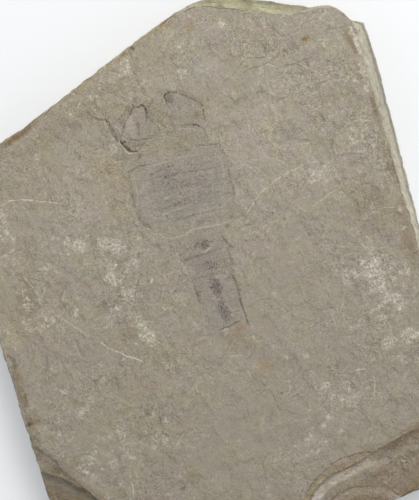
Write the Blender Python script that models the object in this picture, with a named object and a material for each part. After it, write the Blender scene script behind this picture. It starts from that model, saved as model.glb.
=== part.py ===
"""Sea scorpion fossil: a slab of fine-grained dolostone with one flattened sea scorpion on its bedding face.

Frame: +Z up, +Y along the animal from its tail towards its head, origin on the floor under the middle of
the slab. The lists and constants below are millimetres, and MM turns them into Blender's metres.
"""

import math

import bmesh
import bpy
from mathutils import Vector, noise

MM = 0.001

# The slab. Each side is a list of (x, y, setback): a point of the foot's outline, and how far the upper
# face's edge stands in from it there.
THICKNESS = 24.0
LEFT_SIDE = [
    (-109.0, -137.0, 3.0), (-111.4, -106.0, 2.0), (-111.8, -62.0, 2.0), (-110.3, -3.0, 1.6),
    (-111.4, 36.0, 1.6), (-112.0, 90.0, 1.5),
]
TOP_SIDE = [
    (-112.0, 90.0, 1.5), (-92.0, 96.0, 1.2), (-71.0, 102.0, 1.2), (-46.0, 110.3, 1.2), (-36.0, 114.4, 1.2),
    (-1.7, 126.8, 1.2), (22.5, 135.0, 1.5), (33.0, 136.8, 2.5), (44.0, 137.2, 7.0), (56.0, 132.4, 7.0),
    (69.4, 126.0, 6.5), (79.3, 121.0, 6.0), (88.0, 117.2, 2.0), (97.5, 115.0, 1.5), (104.5, 107.5, 3.0),
    (111.0, 101.7, 8.0),
]
RIGHT_SIDE = [
    (104.7, -123.0, 2.5), (104.6, -101.4, 2.2), (105.0, -50.6, 2.8), (105.9, -23.0, 3.6), (106.7, -2.4, 4.4),
    (107.8, 27.2, 6.0), (109.0, 49.3, 6.6), (110.3, 68.3, 7.8), (111.8, 85.3, 9.0), (111.0, 101.7, 8.0),
]
BOTTOM_SIDE = [
    (-109.0, -137.0, 3.0), (-61.0, -137.2, 3.0), (-9.4, -136.4, 3.0), (28.7, -135.0, 3.0),
    (52.0, -132.0, 3.0), (83.0, -128.5, 3.0), (104.7, -123.0, 2.5),
]
COLUMNS = 36  # cells across the upper face
ROWS = 44  # and along it
# The side face, from the upper rim down: (share of the height, share of the setback). The jumps in the
# second number are the ledges of the slab's four beds.
SIDE_PROFILE = [
    (0.03, 0.05), (0.15, 0.12), (0.18, 0.36), (0.40, 0.43), (0.43, 0.68), (0.64, 0.74), (0.67, 0.92),
    (0.94, 1.0),
]
BED_WAVER = 1.4  # how far a ledge wanders up and down along the side
FOOT_CHAMFER = 1.2
EDGE_ROUGHNESS = 0.7  # how far the fractured edge strays in and out
UNDULATION = 0.7  # of the bedding face, away from the animal
FLAT_CENTRE, FLAT_RADII = (0.0, 38.0), (52.0, 82.0)  # where the bedding face is flat, around the animal

# Where flakes have broken from the bedding face. Each has its ledge, a line of points that has the lower
# side to its left, the direction in which the broken floor runs out of the slab, and that floor's section:
# (distance from the ledge, depth).
LEFT_STEP = {
    "ledge": [
        (-80.0, -104.0), (-86.0, -92.0), (-92.0, -80.0), (-98.0, -71.0), (-101.0, -66.0), (-102.3, -61.5),
        (-108.0, -53.5), (-118.0, -44.0),
    ],
    "outwards": (-0.85, -0.53),
    "section": [(0.8, 0.9), (5.0, 1.4), (80.0, 3.0)],
}
LEFT_SCOOP = {
    "ledge": [
        (-73.0, -145.0), (-76.5, -124.0), (-78.0, -112.0), (-81.2, -99.0), (-88.4, -86.2), (-93.0, -79.5),
        (-99.0, -73.4), (-105.1, -67.8), (-118.0, -60.0),
    ],
    "outwards": (-0.85, -0.53),
    "section": [(1.6, 4.0), (7.0, 5.2), (14.0, 6.0), (80.0, 12.0)],
}
RIGHT_SCOOP = {
    "ledge": [
        (116.0, -86.5), (101.4, -89.9), (88.5, -94.2), (76.1, -98.6), (65.1, -102.0), (50.6, -106.3),
        (42.1, -108.3), (33.3, -111.2), (24.9, -112.8), (18.1, -114.3), (10.3, -117.6), (3.0, -126.0),
        (-3.0, -145.0),
    ],
    "outwards": (0.35, -0.94),
    "section": [(2.4, 3.4), (6.5, 5.0), (12.0, 5.4), (80.0, 10.0)],
}
RIGHT_INNER_SCOOP = {
    "ledge": [
        (66.0, -145.0), (60.0, -132.0), (54.8, -127.6), (50.5, -123.0), (43.6, -120.0), (34.6, -118.5),
        (28.0, -119.5), (20.4, -121.9), (12.0, -127.0), (4.0, -145.0),
    ],
    "outwards": (-0.15, -0.99),
    "section": [(1.2, 7.2), (6.0, 8.0), (80.0, 13.0)],
}
BREAKS = {
    "left_step": LEFT_STEP,
    "left_scoop": LEFT_SCOOP,
    "right_scoop": RIGHT_SCOOP,
    "right_inner_scoop": RIGHT_INNER_SCOOP,
}
BREAK_CLEARANCE = 3.0  # how far a break's cutter stands over the bedding face

# The animal. Its body and tail are bands between a left and a right edge, given as (y, x).
LEFT_EDGE = [
    (71.5, -15.0), (70.2, -21.5), (65.4, -23.9), (59.0, -25.4), (51.4, -26.2), (45.3, -26.6), (39.9, -26.2),
    (35.5, -23.9), (32.4, -20.7), (28.3, -17.0), (25.2, -13.8), (21.4, -12.7), (13.4, -10.6), (5.2, -11.0),
    (0.0, -9.5), (-18.1, -9.0), (-22.5, -8.4),
]
RIGHT_EDGE = [
    (71.5, 12.0), (67.5, 19.5), (63.5, 23.3), (59.9, 24.8), (54.5, 25.1), (45.8, 24.5), (38.4, 23.2),
    (31.4, 20.4), (25.2, 15.5), (24.0, 12.2), (18.4, 11.6), (7.2, 10.6), (0.5, 10.1), (-15.3, 10.3),
    (-22.5, 10.2),
]
SEAMS = [71.5, 64.0, 57.0, 50.0, 42.0, 35.0, 25.2, 13.3, 5.1, -6.5, -22.5]  # y of each band's front edge
BAND_COLUMNS = 10
FRONT_RISE, REAR_RISE = 0.18, 0.5  # how proud of the slab a band stands at its front and its rear edge
MARGIN_RISE = 0.05  # and along its left and right edges
SEAM_HALF = 0.3  # half the width of the step between two bands
HEAD_REMNANT = [
    (-17.8, 69.5), (-15.5, 72.8), (-9.8, 75.1), (-5.6, 74.8), (-2.4, 76.9), (2.2, 78.1), (9.6, 78.1),
    (14.8, 76.4), (18.0, 73.2), (19.5, 67.0), (10.0, 68.6), (0.0, 68.8),
]
LEFT_COXA = [
    (-19.2, 82.5), (-21.3, 90.5), (-15.1, 94.2), (-12.1, 96.5), (-10.0, 95.6), (-7.8, 96.2), (-6.0, 95.1),
    (-5.0, 86.7), (-2.3, 82.1), (-1.6, 76.1), (-5.8, 74.0), (-9.8, 74.2), (-18.0, 77.0),
]
RIGHT_COXA = [
    (4.5, 95.2), (4.9, 97.2), (6.9, 97.8), (10.7, 96.4), (14.6, 93.8), (18.5, 89.7), (21.7, 85.0), (20.4, 80.7),
    (19.2, 77.0), (15.6, 75.5), (7.3, 76.5), (3.3, 77.5), (4.8, 87.8),
]
LIMB_ROUTE = [
    (-38.0, 101.2), (-35.1, 97.8), (-31.1, 95.3), (-26.1, 93.1), (-24.8, 88.5), (-23.5, 82.6), (-21.8, 77.8),
    (-18.8, 74.2), (-15.0, 72.0),
]
LIMB_RADIUS = 0.75
PLATE_RISE = {"head_remnant": 0.3, "left_coxa": 0.42, "right_coxa": 0.36}
BURIED = 0.6  # how deep the animal is set in the stone
POCKET_GAP = 0.3  # between the animal and the pocket it lies in

STONE_COLOUR = (0.31, 0.27, 0.21, 1.0)
CUTICLE_COLOUR = (0.235, 0.205, 0.175, 1.0)


def lerp_along(points, key):
    """The value at key on a list of (key, value) pairs whose keys fall."""
    for (k0, v0), (k1, v1) in zip(points, points[1:]):
        if key >= k1:
            return v0 + (v1 - v0) * min(max((k0 - key) / (k0 - k1), 0.0), 1.0)
    return points[-1][1]


def smooth_step(low, high, value):
    t = min(max((value - low) / (high - low), 0.0), 1.0)
    return t * t * (3.0 - 2.0 * t)


def resample(points, shares):
    """Points at these shares of a polyline's length."""
    points = [Vector(point) for point in points]
    lengths = [(b - a).to_2d().length for a, b in zip(points, points[1:])]
    total = sum(lengths)
    found = []
    for share in shares:
        left = share * total
        for (a, b), length in zip(zip(points, points[1:]), lengths):
            if left <= length or b is points[-1]:
                found.append(a.lerp(b, min(left / length, 1.0)))
                break
            left -= length
    return found


def bedding_height(x, y):
    """Height of the upper face: a gently uneven bedding plane, flat around the animal."""
    from_animal = math.hypot((x - FLAT_CENTRE[0]) / FLAT_RADII[0], (y - FLAT_CENTRE[1]) / FLAT_RADII[1])
    waves = noise.noise((x / 38.0, y / 38.0, 2.0)) + 0.5 * noise.noise((x / 15.0, y / 15.0, 7.0))
    return THICKNESS + UNDULATION * waves * smooth_step(0.8, 1.3, from_animal)


def collection(name, hidden=False):
    made = bpy.data.collections.new(name)
    made.hide_render = hidden
    bpy.context.scene.collection.children.link(made)
    return made


def material(name, colour, roughness):
    made = bpy.data.materials.new(name)
    made.use_nodes = True
    shader = made.node_tree.nodes["Principled BSDF"]
    shader.inputs["Base Color"].default_value = colour
    shader.inputs["Roughness"].default_value = roughness
    shader.inputs["Metallic"].default_value = 0.0
    return made


def new_object(name, bm, into):
    """A named object from a bmesh in millimetres, which is freed."""
    bmesh.ops.scale(bm, vec=(MM, MM, MM), verts=bm.verts)
    mesh = bpy.data.meshes.new(name)
    bm.to_mesh(mesh)
    bm.free()
    made = bpy.data.objects.new(name, mesh)
    into.objects.link(made)
    return made


def slab_outlines():
    """The foot's outline and the rim's, as loops of points: along the bottom, up, along the top, down."""
    across = [i / COLUMNS for i in range(COLUMNS + 1)]
    along = [i / ROWS for i in range(ROWS + 1)]
    bottom, top = resample(BOTTOM_SIDE, across), resample(TOP_SIDE, across)
    left, right = resample(LEFT_SIDE, along), resample(RIGHT_SIDE, along)
    loop = bottom[:-1] + right[:-1] + top[:0:-1] + left[:0:-1]
    foot, rim = [], []
    for i, point in enumerate(loop):
        tangent = (loop[(i + 1) % len(loop)] - loop[i - 1]).to_2d().normalized()
        inward = Vector((-tangent.y, tangent.x))
        place = point.to_2d()
        roughness = EDGE_ROUGHNESS * noise.noise((place.x / 6.0, place.y / 6.0, 4.0))
        foot.append(place + inward * max(roughness, 0.0))
        rim.append(place + inward * (point.z + roughness))
    return foot, rim


def coons_patch(rim, column, row):
    """The point of the upper face at this cell corner, spread evenly between the rim's four sides."""
    u, v = column / COLUMNS, row / ROWS
    bottom, top = rim[column], rim[2 * COLUMNS + ROWS - column]
    left, right = rim[(2 * COLUMNS + 2 * ROWS - row) % len(rim)], rim[COLUMNS + row]
    between_sides = bottom * (1 - v) + top * v + left * (1 - u) + right * u
    lower_corners = rim[0] * (1 - u) * (1 - v) + rim[COLUMNS] * u * (1 - v)
    upper_corners = rim[2 * COLUMNS + ROWS] * (1 - u) * v + rim[COLUMNS + ROWS] * u * v
    return between_sides - lower_corners - upper_corners


def rim_station(column, row):
    """The number, in the rim's loop, of this corner of the grid. Inside the grid it isn't used."""
    if row == 0:
        return column
    if column == COLUMNS:
        return COLUMNS + row
    if row == ROWS:
        return 2 * COLUMNS + ROWS - column
    return 2 * COLUMNS + 2 * ROWS - row


def build_slab(into, stone):
    """The upper face is a grid warped to the rim; its edge is then drawn down and out, bed by bed."""
    foot, rim = slab_outlines()
    bm = bmesh.new()
    bmesh.ops.create_grid(bm, x_segments=COLUMNS, y_segments=ROWS, size=0.5)
    station = bm.verts.layers.int.new("station")
    for vert in bm.verts:
        column, row = round((vert.co.x + 0.5) * COLUMNS), round((vert.co.y + 0.5) * ROWS)
        place = coons_patch(rim, column, row)
        vert[station] = rim_station(column, row)
        vert.co = (*place, bedding_height(*place))
    heights = [bedding_height(*place) for place in rim]
    middle = Vector((0.0, 0.0))
    rings = [(1 - down, share, 0.0) for down, share in SIDE_PROFILE] + [(0.0, 1.0, FOOT_CHAMFER)]
    for height_share, setback_share, chamfer in rings:
        waver = BED_WAVER if 0.1 < height_share < 0.9 else 0.0
        edges = [edge for edge in bm.edges if edge.is_boundary]
        made = bmesh.ops.extrude_edge_only(bm, edges=edges)["geom"]
        for vert in (item for item in made if isinstance(item, bmesh.types.BMVert)):
            i = vert[station]
            place = rim[i].lerp(foot[i], setback_share)
            place += (middle - place).normalized() * chamfer
            wander = waver * noise.noise((place.x / 30.0, place.y / 30.0, 9.0))
            vert.co = (*place, heights[i] * height_share + wander)
    bmesh.ops.holes_fill(bm, edges=[edge for edge in bm.edges if edge.is_boundary], sides=0)
    bmesh.ops.recalc_face_normals(bm, faces=bm.faces)
    slab = new_object("slab", bm, into)
    slab.data.materials.append(stone)
    return slab


def build_break(name, shape, into):
    """The cutter of one broken flake: its floor follows the ledge, then runs out past the slab's edge."""
    ledge = [Vector(point) for point in shape["ledge"]]
    outwards = Vector(shape["outwards"])
    first_distance, first_depth = shape["section"][0]
    back = -BREAK_CLEARANCE * first_distance / first_depth
    section = [(back, -BREAK_CLEARANCE)] + shape["section"]
    columns, rows = len(ledge) - 1, len(section) - 1
    bm = bmesh.new()
    bmesh.ops.create_grid(bm, x_segments=columns, y_segments=rows, size=0.5)
    for vert in bm.verts:
        i = round((vert.co.x + 0.5) * columns)
        distance, depth = section[round((vert.co.y + 0.5) * rows)]
        tangent = (ledge[min(i + 1, columns)] - ledge[max(i - 1, 0)]).normalized()
        square = Vector((-tangent.y, tangent.x))
        place = ledge[i] + (square if distance < 10.0 else outwards) * distance
        vert.co = (*place, THICKNESS - depth)
    made = bmesh.ops.extrude_face_region(bm, geom=list(bm.faces))["geom"]
    for vert in (item for item in made if isinstance(item, bmesh.types.BMVert)):
        vert.co.z = THICKNESS + BREAK_CLEARANCE + 1.0
    bmesh.ops.recalc_face_normals(bm, faces=bm.faces)
    return new_object(name, bm, into)


def band_rows(grown):
    """(y, rise) of each row of the banded body: every band climbs to its rear edge, then steps down."""
    rows = [(SEAMS[0] + grown, MARGIN_RISE)]
    for front, rear in zip(SEAMS, SEAMS[1:]):
        rows.append((front - SEAM_HALF, FRONT_RISE))
        rows.append(((front + rear) / 2, (FRONT_RISE + REAR_RISE) / 2))
        rows.append((rear + SEAM_HALF, REAR_RISE))
    rows.append((SEAMS[-1] - grown, MARGIN_RISE))
    return rows


def build_bands(name, into, grown, top, bottom):
    """The body and tail, or the cutter of their pocket, which is grown all round and runs up past the stone."""
    rows = band_rows(grown)
    bm = bmesh.new()
    bmesh.ops.create_grid(bm, x_segments=BAND_COLUMNS, y_segments=len(rows) - 1, size=0.5)
    for vert in bm.verts:
        u = vert.co.x + 0.5
        y, rise = rows[round((0.5 - vert.co.y) * (len(rows) - 1))]
        left, right = lerp_along(LEFT_EDGE, y) - grown, lerp_along(RIGHT_EDGE, y) + grown
        if u in (0.0, 1.0):
            rise = MARGIN_RISE
        vert.co = (left + (right - left) * u, y, THICKNESS + (rise if top is None else top))
    made = bmesh.ops.extrude_face_region(bm, geom=list(bm.faces))["geom"]
    for vert in (item for item in made if isinstance(item, bmesh.types.BMVert)):
        vert.co.z = THICKNESS + bottom
    bmesh.ops.recalc_face_normals(bm, faces=bm.faces)
    return new_object(name, bm, into)


def mesh_from_curve(curve_object, into):
    """A curve's evaluated shape as a mesh object of its own, its caps welded on."""
    graph = bpy.context.evaluated_depsgraph_get()
    mesh = bpy.data.meshes.new_from_object(curve_object.evaluated_get(graph))
    bm = bmesh.new()
    bm.from_mesh(mesh)
    bmesh.ops.remove_doubles(bm, verts=bm.verts, dist=0.01 * MM)
    bm.to_mesh(mesh)
    bm.free()
    made = bpy.data.objects.new(curve_object.name + "_mesh", mesh)
    made.matrix_world = curve_object.matrix_world
    into.objects.link(made)
    bpy.data.objects.remove(curve_object)
    return made


def build_plate(name, outline, into, grown, top, bottom):
    """A flat plate of this outline between two heights over the bedding face."""
    curve = bpy.data.curves.new(name, "CURVE")
    curve.dimensions = "2D"
    curve.fill_mode = "BOTH"
    curve.extrude = (top - bottom) / 2 * MM
    curve.offset = grown * MM
    spline = curve.splines.new("POLY")
    spline.points.add(len(outline) - 1)
    for point, (x, y) in zip(spline.points, outline):
        point.co = (x * MM, y * MM, 0.0, 1.0)
    spline.use_cyclic_u = True
    plate = bpy.data.objects.new(name, curve)
    plate.location.z = (THICKNESS + (top + bottom) / 2) * MM
    into.objects.link(plate)
    bpy.context.view_layer.update()
    return mesh_from_curve(plate, into)


def build_limb(name, into, grown):
    """The broken limb: a thin tube, half sunk in the stone."""
    curve = bpy.data.curves.new(name, "CURVE")
    curve.dimensions = "3D"
    curve.bevel_depth = (LIMB_RADIUS + grown) * MM
    curve.bevel_resolution = 1
    curve.use_fill_caps = True
    spline = curve.splines.new("POLY")
    spline.points.add(len(LIMB_ROUTE) - 1)
    for point, (x, y) in zip(spline.points, LIMB_ROUTE):
        point.co = (x * MM, y * MM, (THICKNESS - 0.3 * LIMB_RADIUS) * MM, 1.0)
    limb = bpy.data.objects.new(name, curve)
    into.objects.link(limb)
    bpy.context.view_layer.update()
    return mesh_from_curve(limb, into)


def boolean(target, operation, other):
    cut = target.modifiers.new(other.name, "BOOLEAN")
    cut.operation = operation
    cut.solver = "EXACT"
    cut.object = other


def build_animal(parts, helpers, cuticle):
    """Bands, head remnant, the two leg bases and the limb, joined into one thin solid."""
    animal = build_bands("sea_scorpion", parts, 0.0, None, -BURIED)
    animal.data.materials.append(cuticle)
    outlines = {"head_remnant": HEAD_REMNANT, "left_coxa": LEFT_COXA, "right_coxa": RIGHT_COXA}
    for i, (name, outline) in enumerate(outlines.items()):
        sunk = BURIED - 0.05 * (i + 1)
        boolean(animal, "UNION", build_plate(name, outline, helpers, 0.0, PLATE_RISE[name], -sunk))
    boolean(animal, "UNION", build_limb("limb", helpers, 0.0))
    return animal


def cut_pocket(slab, helpers):
    """The hollow in the bedding face that the animal lies in, with a gap all round it."""
    floor, over = -BURIED - POCKET_GAP, 4.0
    outlines = {"head_pocket": HEAD_REMNANT, "left_coxa_pocket": LEFT_COXA, "right_coxa_pocket": RIGHT_COXA}
    boolean(slab, "DIFFERENCE", build_bands("band_pocket", helpers, POCKET_GAP, over, floor))
    for i, (name, outline) in enumerate(outlines.items()):
        lift = 0.01 * (i + 1)
        boolean(slab, "DIFFERENCE", build_plate(name, outline, helpers, POCKET_GAP, over + lift, floor + lift))
    boolean(slab, "DIFFERENCE", build_limb("limb_pocket", helpers, POCKET_GAP))


def main():
    for old in list(bpy.data.objects):
        bpy.data.objects.remove(old)
    parts = collection("sea_scorpion_fossil")
    helpers = collection("cutters", hidden=True)
    slab = build_slab(parts, material("stone", STONE_COLOUR, 0.85))
    for name, shape in BREAKS.items():
        boolean(slab, "DIFFERENCE", build_break(name, shape, helpers))
    cut_pocket(slab, helpers)
    build_animal(parts, helpers, material("cuticle", CUTICLE_COLOUR, 0.7))
    for helper in helpers.objects:
        helper.hide_render = True
        helper.display_type = "WIRE"


main()
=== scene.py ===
"""Sea scorpion fossil: a fractured slab of fine-grained dolostone with a pressed sea scorpion on its face.

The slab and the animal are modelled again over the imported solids, with broken beds, laminae and relief.
Lengths in the lists and constants are millimetres, and MM turns them into Blender's metres.
"""

import math

import bpy
import numpy as np
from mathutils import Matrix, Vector, noise


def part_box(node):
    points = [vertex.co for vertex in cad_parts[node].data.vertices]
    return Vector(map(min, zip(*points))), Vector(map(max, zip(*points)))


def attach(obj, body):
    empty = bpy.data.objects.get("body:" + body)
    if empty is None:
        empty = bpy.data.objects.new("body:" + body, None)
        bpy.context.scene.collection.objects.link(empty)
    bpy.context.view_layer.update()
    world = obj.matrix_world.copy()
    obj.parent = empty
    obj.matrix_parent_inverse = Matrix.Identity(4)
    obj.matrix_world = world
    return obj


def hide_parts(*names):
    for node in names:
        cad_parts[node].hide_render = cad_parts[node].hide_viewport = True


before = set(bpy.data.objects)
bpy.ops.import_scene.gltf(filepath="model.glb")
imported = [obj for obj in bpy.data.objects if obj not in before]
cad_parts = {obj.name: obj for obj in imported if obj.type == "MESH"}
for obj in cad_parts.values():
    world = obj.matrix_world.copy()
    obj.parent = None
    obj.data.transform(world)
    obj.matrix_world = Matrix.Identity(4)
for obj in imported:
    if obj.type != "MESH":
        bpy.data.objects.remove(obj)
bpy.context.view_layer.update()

bl_info = {
    "name": "Sea Scorpion Fossil",
    "version": (1, 0, 0),
    "blender": (4, 5, 0),
    "location": "View3D > Sidebar > Fossil",
    "description": "Builds a stone slab with a pressed sea scorpion, and a stage to show it on",
    "category": "Add Mesh",
}

MM = 0.001

# The slab. Each side is a list of (x, y, setback): a point of the foot's outline, and how far the upper
# face's edge stands in from it there.
THICKNESS = 24.0
LEFT_SIDE = [
    (-109.6, -137.0, 2.0), (-111.7, -106.0, 0.7), (-111.95, -62.0, 0.5), (-111.8, -3.0, 0.5),
    (-111.9, 36.0, 0.7), (-112.0, 90.0, 1.2),
]
TOP_SIDE = [
    (-112.0, 90.0, 1.2), (-92.0, 96.0, 1.2), (-71.0, 102.0, 1.2), (-46.0, 110.3, 1.2), (-36.0, 114.4, 1.2),
    (-1.7, 126.8, 1.2), (22.5, 135.0, 1.5), (33.0, 136.8, 2.5), (44.0, 137.2, 7.0), (56.0, 132.4, 7.0),
    (69.4, 126.0, 6.5), (79.3, 121.0, 6.0), (88.0, 117.2, 2.0), (97.5, 115.0, 1.2), (103.3, 108.9, 0.9),
    (105.6, 104.6, 0.9), (108.0, 103.2, 4.2), (111.5, 101.5, 6.3),
]
RIGHT_SIDE = [
    (104.7, -123.0, 1.3), (104.6, -101.4, 2.2), (105.0, -50.6, 2.8), (106.1, -23.0, 3.6), (107.1, -2.4, 4.2),
    (108.5, 27.2, 5.6), (110.0, 49.3, 5.6), (110.9, 68.3, 6.4), (111.7, 85.3, 7.0), (111.5, 101.5, 6.3),
]
BOTTOM_SIDE = [
    (-109.6, -137.0, 2.0), (-61.0, -137.2, 3.0), (-9.4, -136.4, 3.0), (28.7, -135.0, 3.0),
    (52.0, -132.0, 1.6), (83.0, -128.5, 1.3), (104.7, -123.0, 1.3),
]
COLUMNS, ROWS = 236, 286  # cells across and along the upper face
# Where the cells are finer, round the animal: (from, to, how many times finer), as shares of the slab's size.
FINER_ACROSS, FINER_ALONG = (0.31, 0.66, 1.7), (0.36, 0.88, 1.35)
SIDE_PROFILE = [  # (share of the height down from the rim, share of the setback)
    (0.0, 0.0), (0.03, 0.05), (0.15, 0.12), (0.18, 0.36), (0.40, 0.43), (0.43, 0.68), (0.64, 0.74),
    (0.67, 0.92), (0.94, 1.0), (1.0, 1.0),
]
# Heights at which one bed of the side face ends and the next begins, as shares of the thickness.
BED_EDGES = [0.955, 0.90, 0.83, 0.74, 0.66, 0.575, 0.47, 0.40, 0.30, 0.19, 0.08]
BED_TINTS = [0.88, 1.02, 0.94, 1.04, 0.90, 1.02, 0.90, 0.82, 0.62, 0.72, 1.0, 1.04]
FOOT_CHAMFER = 1.2
FLAT_CENTRE, FLAT_RADII = (0.0, 38.0), (52.0, 82.0)  # where the bedding face is flat, around the animal

# Where flakes have broken from the bedding face: the ledge, the direction in which the floor runs out of
# the slab, its section as (distance from the ledge, depth), and the height of its laminae.
BREAKS = [
    {
        "ledge": [(-80, -104), (-86, -92), (-92, -80), (-98, -71), (-101, -66), (-102.3, -61.5),
                  (-108, -53.5), (-118, -44)],
        "outwards": (-0.85, -0.53), "section": [(0.8, 0.9), (5.0, 1.4), (80.0, 3.0)], "lamina": 0.7,
    },
    {
        "ledge": [(-73, -145), (-76.5, -124), (-78, -112), (-81.2, -99), (-88.4, -86.2), (-93, -79.5),
                  (-99, -73.4), (-105.1, -67.8), (-118, -60)],
        "outwards": (-0.85, -0.53), "section": [(2.4, 3.6), (7.0, 5.0), (14.0, 6.0), (80.0, 12.0)],
        "lamina": 0.0,
    },
    {
        "ledge": [(116, -89.0), (101.2, -92.2), (88.0, -96.6), (75.6, -100.4), (65.1, -102), (50.6, -104.9),
                  (43.4, -106.9), (36.8, -108.1), (30.0, -109.2), (24.4, -110.4), (19.5, -112.2),
                  (15, -115.5), (10.3, -121), (6, -128), (2, -145)],
        "outwards": (0.35, -0.94), "section": [(3.4, 3.2), (7.5, 5.0), (12.0, 5.4), (80.0, 10.0)],
        "lamina": 0.0,
    },
    {
        "ledge": [(66, -145), (60, -132), (54.8, -127.6), (50.5, -123), (43.6, -120), (34.6, -118.5),
                  (28, -119.5), (20.4, -121.9), (12, -127), (4, -145)],
        "outwards": (-0.15, -0.99), "section": [(3.2, 6.4), (7.0, 7.6), (80.0, 12.5)], "lamina": 0.0,
    },
]

# The animal: the left and right edge of its body and tail as (y, x), its plates and its limb as (x, y).
LEFT_EDGE = [
    (71.5, -15.0), (70.2, -21.5), (65.4, -23.9), (59.0, -25.4), (51.4, -26.2), (45.3, -26.6), (39.9, -26.2),
    (35.5, -23.9), (32.4, -20.7), (28.3, -17.0), (25.2, -13.8), (21.4, -12.7), (13.4, -10.6), (5.2, -11.0),
    (0.0, -9.5), (-18.1, -9.0), (-22.5, -8.4),
]
RIGHT_EDGE = [
    (71.5, 12.0), (67.5, 19.5), (63.5, 23.3), (59.9, 24.8), (54.5, 25.1), (45.8, 24.5), (38.4, 23.2),
    (31.4, 20.4), (25.2, 15.5), (24.0, 12.2), (18.4, 11.6), (7.2, 10.6), (0.5, 10.1), (-15.3, 10.3),
    (-22.5, 10.2),
]
HEAD_REMNANT = [
    (-17.8, 69.5), (-15.5, 72.8), (-9.8, 75.1), (-5.6, 74.8), (-2.4, 76.9), (2.2, 78.1), (9.6, 78.1),
    (14.8, 76.4), (18.0, 73.2), (19.5, 67.0), (10.0, 68.6), (0.0, 68.8),
]
LEFT_COXA = [
    (-19.2, 82.5), (-21.3, 90.5), (-15.1, 94.2), (-12.1, 96.5), (-10.0, 95.6), (-7.8, 96.2), (-6.0, 95.1),
    (-5.0, 86.7), (-2.3, 82.1), (-1.6, 76.1), (-5.8, 74.0), (-9.8, 74.2), (-18.0, 77.0),
]
RIGHT_COXA = [
    (4.5, 95.2), (4.9, 97.2), (6.9, 97.8), (10.7, 96.4), (14.6, 93.8), (18.5, 89.7), (21.7, 85.0),
    (20.4, 80.7), (19.2, 77.0), (15.6, 75.5), (7.3, 76.5), (3.3, 77.5), (4.8, 87.8),
]
LIMB_ROUTE = [
    (-38.0, 101.2), (-35.1, 97.8), (-31.1, 95.3), (-26.1, 93.1), (-24.8, 88.5), (-23.5, 82.6), (-21.8, 77.8),
    (-18.8, 74.2), (-15.0, 72.0),
]
SEAMS = [64.0, 57.0, 50.0, 42.0, 35.0, 25.2, 13.3, 5.1, -6.5]  # y of the seams between the animal's bands
FILM_CELL = 0.36
BODY_FRONT, TAIL_START, TAIL_END = 71.5, 28.0, -24.0  # y of the first band's front, the tail's and its end
LIMB_RADIUS = 1.15
FILM_EDGE_SINK = 0.4  # how far the film's edge dives into the stone
POCKET_DEPTH = 0.45  # how far the stone's face is lowered under the film

# What a mark does to the stone's colour under it, as a share of red, green and blue.
INK = (0.20, 0.16, 0.14)
DARK = (0.44, 0.39, 0.37)
SHADE = (0.76, 0.74, 0.73)
PURPLE = (0.74, 0.69, 0.73)
GREY = (0.95, 0.95, 0.98)
BROWN = (0.79, 0.72, 0.61)
OLIVE = (0.87, 0.86, 0.82)
TAN = (0.98, 0.92, 0.78)
ORANGE = (1.06, 0.86, 0.62)
PALE = (1.24, 1.23, 1.22)
ROSE = (1.24, 1.215, 1.27)
WHITE = (1.55, 1.56, 1.58)
MAUVE = (1.34, 1.33, 1.44)
TEAL = (0.96, 1.0, 1.03)

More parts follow.
